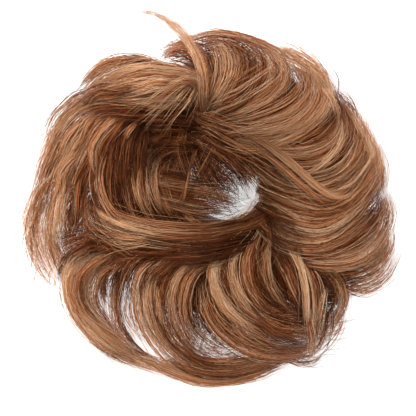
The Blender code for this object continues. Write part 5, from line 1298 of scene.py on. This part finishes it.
def under_hair(sector, hair, random):
    """Loft the dark under-hair of a bundle through combed sections round its sector of the band.

    Its near-black tones are painted shade where it shows between the locks.
    """
    _, low, high, share, lift, *_ = sector
    low, high = low - UNDER_OVERLAP, high + UNDER_OVERLAP
    angles = np.linspace(low, high, max(FEWEST_SECTIONS, round((high - low) / UNDER_STEP)))
    reaches = np.interp(angles % 360, OUTLINE_ANGLES, OUTLINE_REACHES) * share
    section = np.array(UNDER_SECTION)
    comb = 1 + random.uniform(-UNDER_COMB, UNDER_COMB, len(angles))[:, None]
    polar = np.empty((len(angles), len(section), 3))
    polar[..., 0] = angles[:, None]
    polar[..., 1] = UNDER_INNER_REACH + section[:, 0] * reaches[:, None] * comb
    polar[..., 2] = section[:, 1] * comb * lift
    corners = placed(polar, hair).reshape(-1, 3)
    wide = len(section)
    quads = []
    quads_map = []
    for row in range(len(angles) - 1):
        here, there = row * wide, (row + 1) * wide
        u = np.array((row, row + 1, row + 1, row)) / (len(angles) - 1) * UNDER_MAP_WIDTH + UNDER_MAP_START
        for place in range(wide):
            after = (place + 1) % wide
            quads.append((here + place, there + place, there + after, here + after))
            v = UNDER_MAP_LOW + UNDER_MAP_HEIGHT * np.array((place, place, place + 1, place + 1)) / wide
            quads_map.extend(zip(u, v))
    caps = []
    caps_map = []
    last = (len(angles) - 1) * wide
    for place in range(1, wide - 1):
        for start, near, far in ((0, place, place + 1), (last, place + 1, place)):
            caps.append((start, start + near, start + far))
            caps_map.append((END_MAP_SIDES[0], UNDER_MAP_LOW))
            caps_map.append((END_MAP_SIDES[0], UNDER_MAP_LOW + END_MAP_HEIGHT * near / wide))
            caps_map.append((END_MAP_SIDES[1], UNDER_MAP_LOW + END_MAP_HEIGHT * far / wide))
    return corners, [(np.array(quads), np.array(quads_map)), (np.array(caps), np.array(caps_map))]


def joined_mesh(name, parts):
    """Join sets of corners, faces and maps into one object with a UV map."""
    corners = []
    faces = []
    maps = []
    offset = 0
    for part_corners, groups in parts:
        corners.append(part_corners)
        for group, group_map in groups:
            faces.extend((group + offset).tolist())
            maps.append(group_map)
        offset += len(part_corners)
    mesh = bpy.data.meshes.new(name)
    mesh.from_pydata(np.concatenate(corners), [], faces)
    layer = mesh.uv_layers.new(name="OFBake")
    layer.uv.foreach_set("vector", np.concatenate(maps).astype(np.float32).ravel())
    mesh.polygons.foreach_set("use_smooth", np.ones(len(faces), dtype=bool))
    mesh.update()
    piece = bpy.data.objects.new(name, mesh)
    bpy.context.scene.collection.objects.link(piece)
    return piece


def add_node(tree, kind, inputs, operation=None):
    """Add a node to a material, and give each of its named inputs a value or link it to another's output."""
    node = tree.nodes.new(kind)
    if operation:
        node.operation = operation
    for key, value in inputs.items():
        if isinstance(value, bpy.types.NodeSocket):
            tree.links.new(value, node.inputs[key])
        else:
            node.inputs[key].default_value = value
    return node


def ramp_colour(tree, place, stops):
    """Add a ramp between colours at their places along it, and give its colour."""
    ramp = add_node(tree, "ShaderNodeValToRGB", {"Fac": place})
    elements = ramp.color_ramp.elements
    while len(elements) < len(stops):
        elements.new(0.5)
    for element, (position, colour) in zip(elements, stops):
        element.position = position
        element.color = (*colour, 1.0)
    return ramp.outputs["Color"]


def noise_value(tree, place, scale, detail):
    """Add a cloudy pattern and give its value at a place."""
    noise = add_node(tree, "ShaderNodeTexNoise", {"Scale": scale, "Detail": detail, "Vector": place})
    return noise.outputs["Fac"]


def shade_value(tree, value, shades):
    """Stretch a cloudy pattern over a range of shades."""
    limits = dict(zip(("From Min", "From Max", "To Min", "To Max"), (*NOISE_RANGE, *shades)))
    return add_node(tree, "ShaderNodeMapRange", {"Value": value, **limits}).outputs["Result"]


def hair_material(hair):
    """Make the finish of the fibres: tones across the map, and fine streaks along it.

    Up the map, the roots near the hole get painted shade and the tips far out painted light.
    """
    material = bpy.data.materials.get("hair_fibres")
    if material:
        return material
    material = bpy.data.materials.new("hair_fibres")
    material.use_nodes = True
    tree = material.node_tree
    shader = tree.nodes["Principled BSDF"]
    shader.inputs["Roughness"].default_value = hair.roughness
    shader.inputs["IOR"].default_value = FIBRE_IOR
    shader.inputs["Specular IOR Level"].default_value = FIBRE_SPECULAR
    shader.inputs["Specular Tint"].default_value = FIBRE_SPECULAR_TINT
    uv = add_node(tree, "ShaderNodeUVMap", {})
    uv.uv_map = "OFBake"
    spot = uv.outputs["UV"]
    split = add_node(tree, "ShaderNodeSeparateXYZ", {"Vector": spot})
    tones = ramp_colour(tree, split.outputs["X"], PALETTE)
    # Painted shade near the hole and the roots and painted light towards the tips, read from the map's height
    shades = [(place, (shade, shade ** PAINTED_SHADE_GREEN_LOSS, shade ** PAINTED_SHADE_BLUE_LOSS)) for place, shade in PAINTED_SHADE_AND_LIGHT]
    lengths = ramp_colour(tree, split.outputs["Y"], shades)
    along = add_node(tree, "ShaderNodeMapping", {"Scale": STREAK_SCALE, "Vector": spot})
    streaks = noise_value(tree, along.outputs["Vector"], 1.0, NOISE_DETAIL)
    slowly = add_node(tree, "ShaderNodeMapping", {"Location": HUE_SHIFT, "Scale": HUE_SCALE, "Vector": spot})
    tint = ramp_colour(tree, noise_value(tree, slowly.outputs["Vector"], 1.0, NOISE_DETAIL), HUE_TINTS)
    shaded = add_node(tree, "ShaderNodeVectorMath", {0: tones, 1: lengths}, "MULTIPLY")
    dyed = add_node(tree, "ShaderNodeVectorMath", {0: shaded.outputs["Vector"], 1: tint}, "MULTIPLY")
    light = shade_value(tree, streaks, STREAK_SHADES)
    lit = add_node(tree, "ShaderNodeVectorMath", {0: dyed.outputs["Vector"], "Scale": light}, "SCALE")
    tree.links.new(lit.outputs["Vector"], shader.inputs["Base Color"])
    return material


def plain_material(name, colour, roughness):
    """Make a Principled material with one base colour."""
    material = bpy.data.materials.new(name)
    material.use_nodes = True
    shader = material.node_tree.nodes["Principled BSDF"]
    shader.inputs["Base Color"].default_value = (*colour, 1.0)
    shader.inputs["Roughness"].default_value = roughness
    return material


def woven_material(name, colour, roughness):
    """Make the finish of the elastic's cover: fine threads, a shade lighter and darker than its colour."""
    material = plain_material(name, colour, roughness)
    tree = material.node_tree
    spot = add_node(tree, "ShaderNodeTexCoord", {}).outputs["Object"]
    light = shade_value(tree, noise_value(tree, spot, THREAD_SCALE, THREAD_DETAIL), THREAD_SHADES)
    shaded = add_node(tree, "ShaderNodeVectorMath", {0: tuple(colour), "Scale": light}, "SCALE")
    tree.links.new(shaded.outputs["Vector"], tree.nodes["Principled BSDF"].inputs["Base Color"])
    return material


def clear_selection():
    """Deselect everything, because operators act on all that is selected."""
    bpy.ops.object.select_all(action="DESELECT")


class HAIRPIECE_OT_bundles(bpy.types.Operator):
    """Make the bundles of curled locks on their under-hair."""

    bl_idname = "hairpiece.bundles"
    bl_label = "Hair bundles"

    def execute(self, context):
        hair = context.scene.hairpiece_hair
        finish = hair_material(hair)
        for number, sector in enumerate(BUNDLES):
            name = sector[0]
            random = np.random.default_rng(BUNDLE_SEED + number)
            parts = [under_hair(sector, hair, random), strand_faces(*base_layer(sector, hair, random))]
            for _, widths, tone, density, lifts, points in LOCKS[name]:
                route, length = route_stations(points, lifts, LOCK_STATIONS)
                count = strand_count(widths, density, length)
                parts.append(strand_faces(*lock_strands(widths, tone, count, route, hair, random)))
            piece = joined_mesh(name + "_hair", parts)
            piece.data.materials.append(finish)
            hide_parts(name)
            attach(piece, "root")
        return {"FINISHED"}


class HAIRPIECE_OT_loose(bpy.types.Operator):
    """Make the single hairs that have come loose."""

    bl_idname = "hairpiece.loose"
    bl_label = "Loose hairs"

    def execute(self, context):
        hair = context.scene.hairpiece_hair
        random = np.random.default_rng(LOOSE_SEED)
        parts = []
        for _, widths, tone, count, lifts, picked in LOOSE_HAIRS:
            route, _ = route_stations(picked, lifts, LOOSE_STATIONS)
            points, radii, tones, heights = lock_strands(
                widths, tone, count, route, hair, random, clump_size=1, sway_size=LOOSE_SWAY,
            )
            # Lifts the loose hairs out of the painted shade of the roots
            heights = LOOSE_HEIGHT + (1 - LOOSE_HEIGHT) * heights
            parts.append(strand_faces(points, radii * LOOSE_THICKNESS, tones, heights))
        piece = joined_mesh("loose_hairs", parts)
        piece.data.materials.append(hair_material(hair))
        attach(piece, "root")
        return {"FINISHED"}


class HAIRPIECE_OT_band(bpy.types.Operator):
    """Make the gathered elastic band that the hair is sewn to."""

    bl_idname = "hairpiece.band"
    bl_label = "Elastic band"

    def execute(self, context):
        band = context.scene.hairpiece_band
        clear_selection()
        bpy.ops.mesh.primitive_torus_add(
            major_segments=band.ribs * 2, minor_segments=BAND_SIDES, major_radius=BAND_RADIUS,
            minor_radius=BAND_THICKNESS / 2, location=BAND_MIDDLE,
        )
        ring = context.object
        ring.name = "elastic_band_cover"
        for vertex in ring.data.vertices:
            flat = Vector((vertex.co.x, vertex.co.y, 0.0))
            core = flat.normalized() * BAND_RADIUS
            step = round(math.atan2(flat.y, flat.x) / (math.pi / band.ribs))
            if step % 2:
                vertex.co = core + (vertex.co - core) * (1 - band.rib_depth)
        bpy.ops.object.shade_smooth()
        bpy.ops.object.transform_apply(location=True, rotation=True, scale=True)
        ring.data.materials.append(woven_material("elastic_cover", band.colour, COVER_ROUGHNESS))
        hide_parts("elastic_band")
        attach(ring, "root")
        return {"FINISHED"}


class HAIRPIECE_OT_stage(bpy.types.Operator):
    """Make the pale floor, the soft lights and the camera."""

    bl_idname = "hairpiece.stage"
    bl_label = "Stage"

    def execute(self, context):
        stage = context.scene.hairpiece_stage
        clear_selection()
        bpy.ops.mesh.primitive_plane_add(size=FLOOR_WIDTH, location=(0.0, 0.0, FLOOR_DROP))
        floor = context.object
        floor.name = "floor"
        finish = plain_material("floor", stage.floor_colour, FLOOR_ROUGHNESS)
        shader = finish.node_tree.nodes["Principled BSDF"]
        shader.inputs["Emission Color"].default_value = WHITE
        shader.inputs["Emission Strength"].default_value = stage.floor_glow
        shader.inputs["Specular IOR Level"].default_value = FLOOR_SPECULAR
        floor.data.materials.append(finish)
        world = bpy.data.worlds.new("studio")
        world.use_nodes = True
        back = world.node_tree.nodes["Background"]
        back.inputs["Color"].default_value = WHITE
        back.inputs["Strength"].default_value = stage.sky
        context.scene.world = world
        context.scene.view_settings.view_transform = "Standard"
        for name, power, width, place in LAMPS:
            light = bpy.data.lights.new(name, "AREA")
            light.shape = "DISK"
            light.size = width
            light.energy = getattr(stage, power)
            lamp = bpy.data.objects.new(name, light)
            lamp.location = place
            lamp.rotation_euler = (-lamp.location).to_track_quat("-Z", "Y").to_euler()
            context.scene.collection.objects.link(lamp)
        camera = bpy.data.cameras.new("camera")
        camera.sensor_width = SENSOR_WIDTH
        camera.lens = SENSOR_WIDTH * (stage.camera_height - VIEW_HEIGHT) / stage.view_width
        camera.clip_end = SIGHT
        eye = bpy.data.objects.new("camera", camera)
        eye.location = (*CAMERA_PLACE, stage.camera_height)
        context.scene.collection.objects.link(eye)
        context.scene.camera = eye
        return {"FINISHED"}


class HAIRPIECE_PT_panel(bpy.types.Panel):
    """List the hairpiece's settings and steps in the sidebar."""

    bl_idname = "HAIRPIECE_PT_panel"
    bl_label = "Top Knot Hairpiece"
    bl_space_type = "VIEW_3D"
    bl_region_type = "UI"
    bl_category = "Hairpiece"

    def draw(self, context):
        for group, operators in PANEL_ROWS:
            box = self.layout.box()
            settings = getattr(context.scene, group)
            for name in settings.__annotations__:
                box.prop(settings, name)
            for operator in operators:
                box.operator(operator)


PANEL_ROWS = (
    ("hairpiece_hair", ("hairpiece.bundles", "hairpiece.loose")),
    ("hairpiece_band", ("hairpiece.band",)),
    ("hairpiece_stage", ("hairpiece.stage",)),
)
GROUPS = (
    ("hairpiece_hair", HairpieceHair),
    ("hairpiece_band", HairpieceBand),
    ("hairpiece_stage", HairpieceStage),
)
CLASSES = (
    HAIRPIECE_OT_bundles, HAIRPIECE_OT_loose, HAIRPIECE_OT_band, HAIRPIECE_OT_stage, HAIRPIECE_PT_panel,
)


def register():
    """Register the settings, the operators and the panel."""
    for name, group in GROUPS:
        bpy.utils.register_class(group)
        setattr(bpy.types.Scene, name, bpy.props.PointerProperty(type=group))
    for item in CLASSES:
        bpy.utils.register_class(item)


def unregister():
    """Take back what register has registered."""
    for item in reversed(CLASSES):
        bpy.utils.unregister_class(item)
    for name, group in reversed(GROUPS):
        delattr(bpy.types.Scene, name)
        bpy.utils.unregister_class(group)


def main():
    """Build the stage and the hairpiece."""
    register()
    clear_selection()
    bpy.ops.hairpiece.stage()
    bpy.ops.hairpiece.bundles()
    bpy.ops.hairpiece.loose()
    bpy.ops.hairpiece.band()


if __name__ == "__main__":
    main()
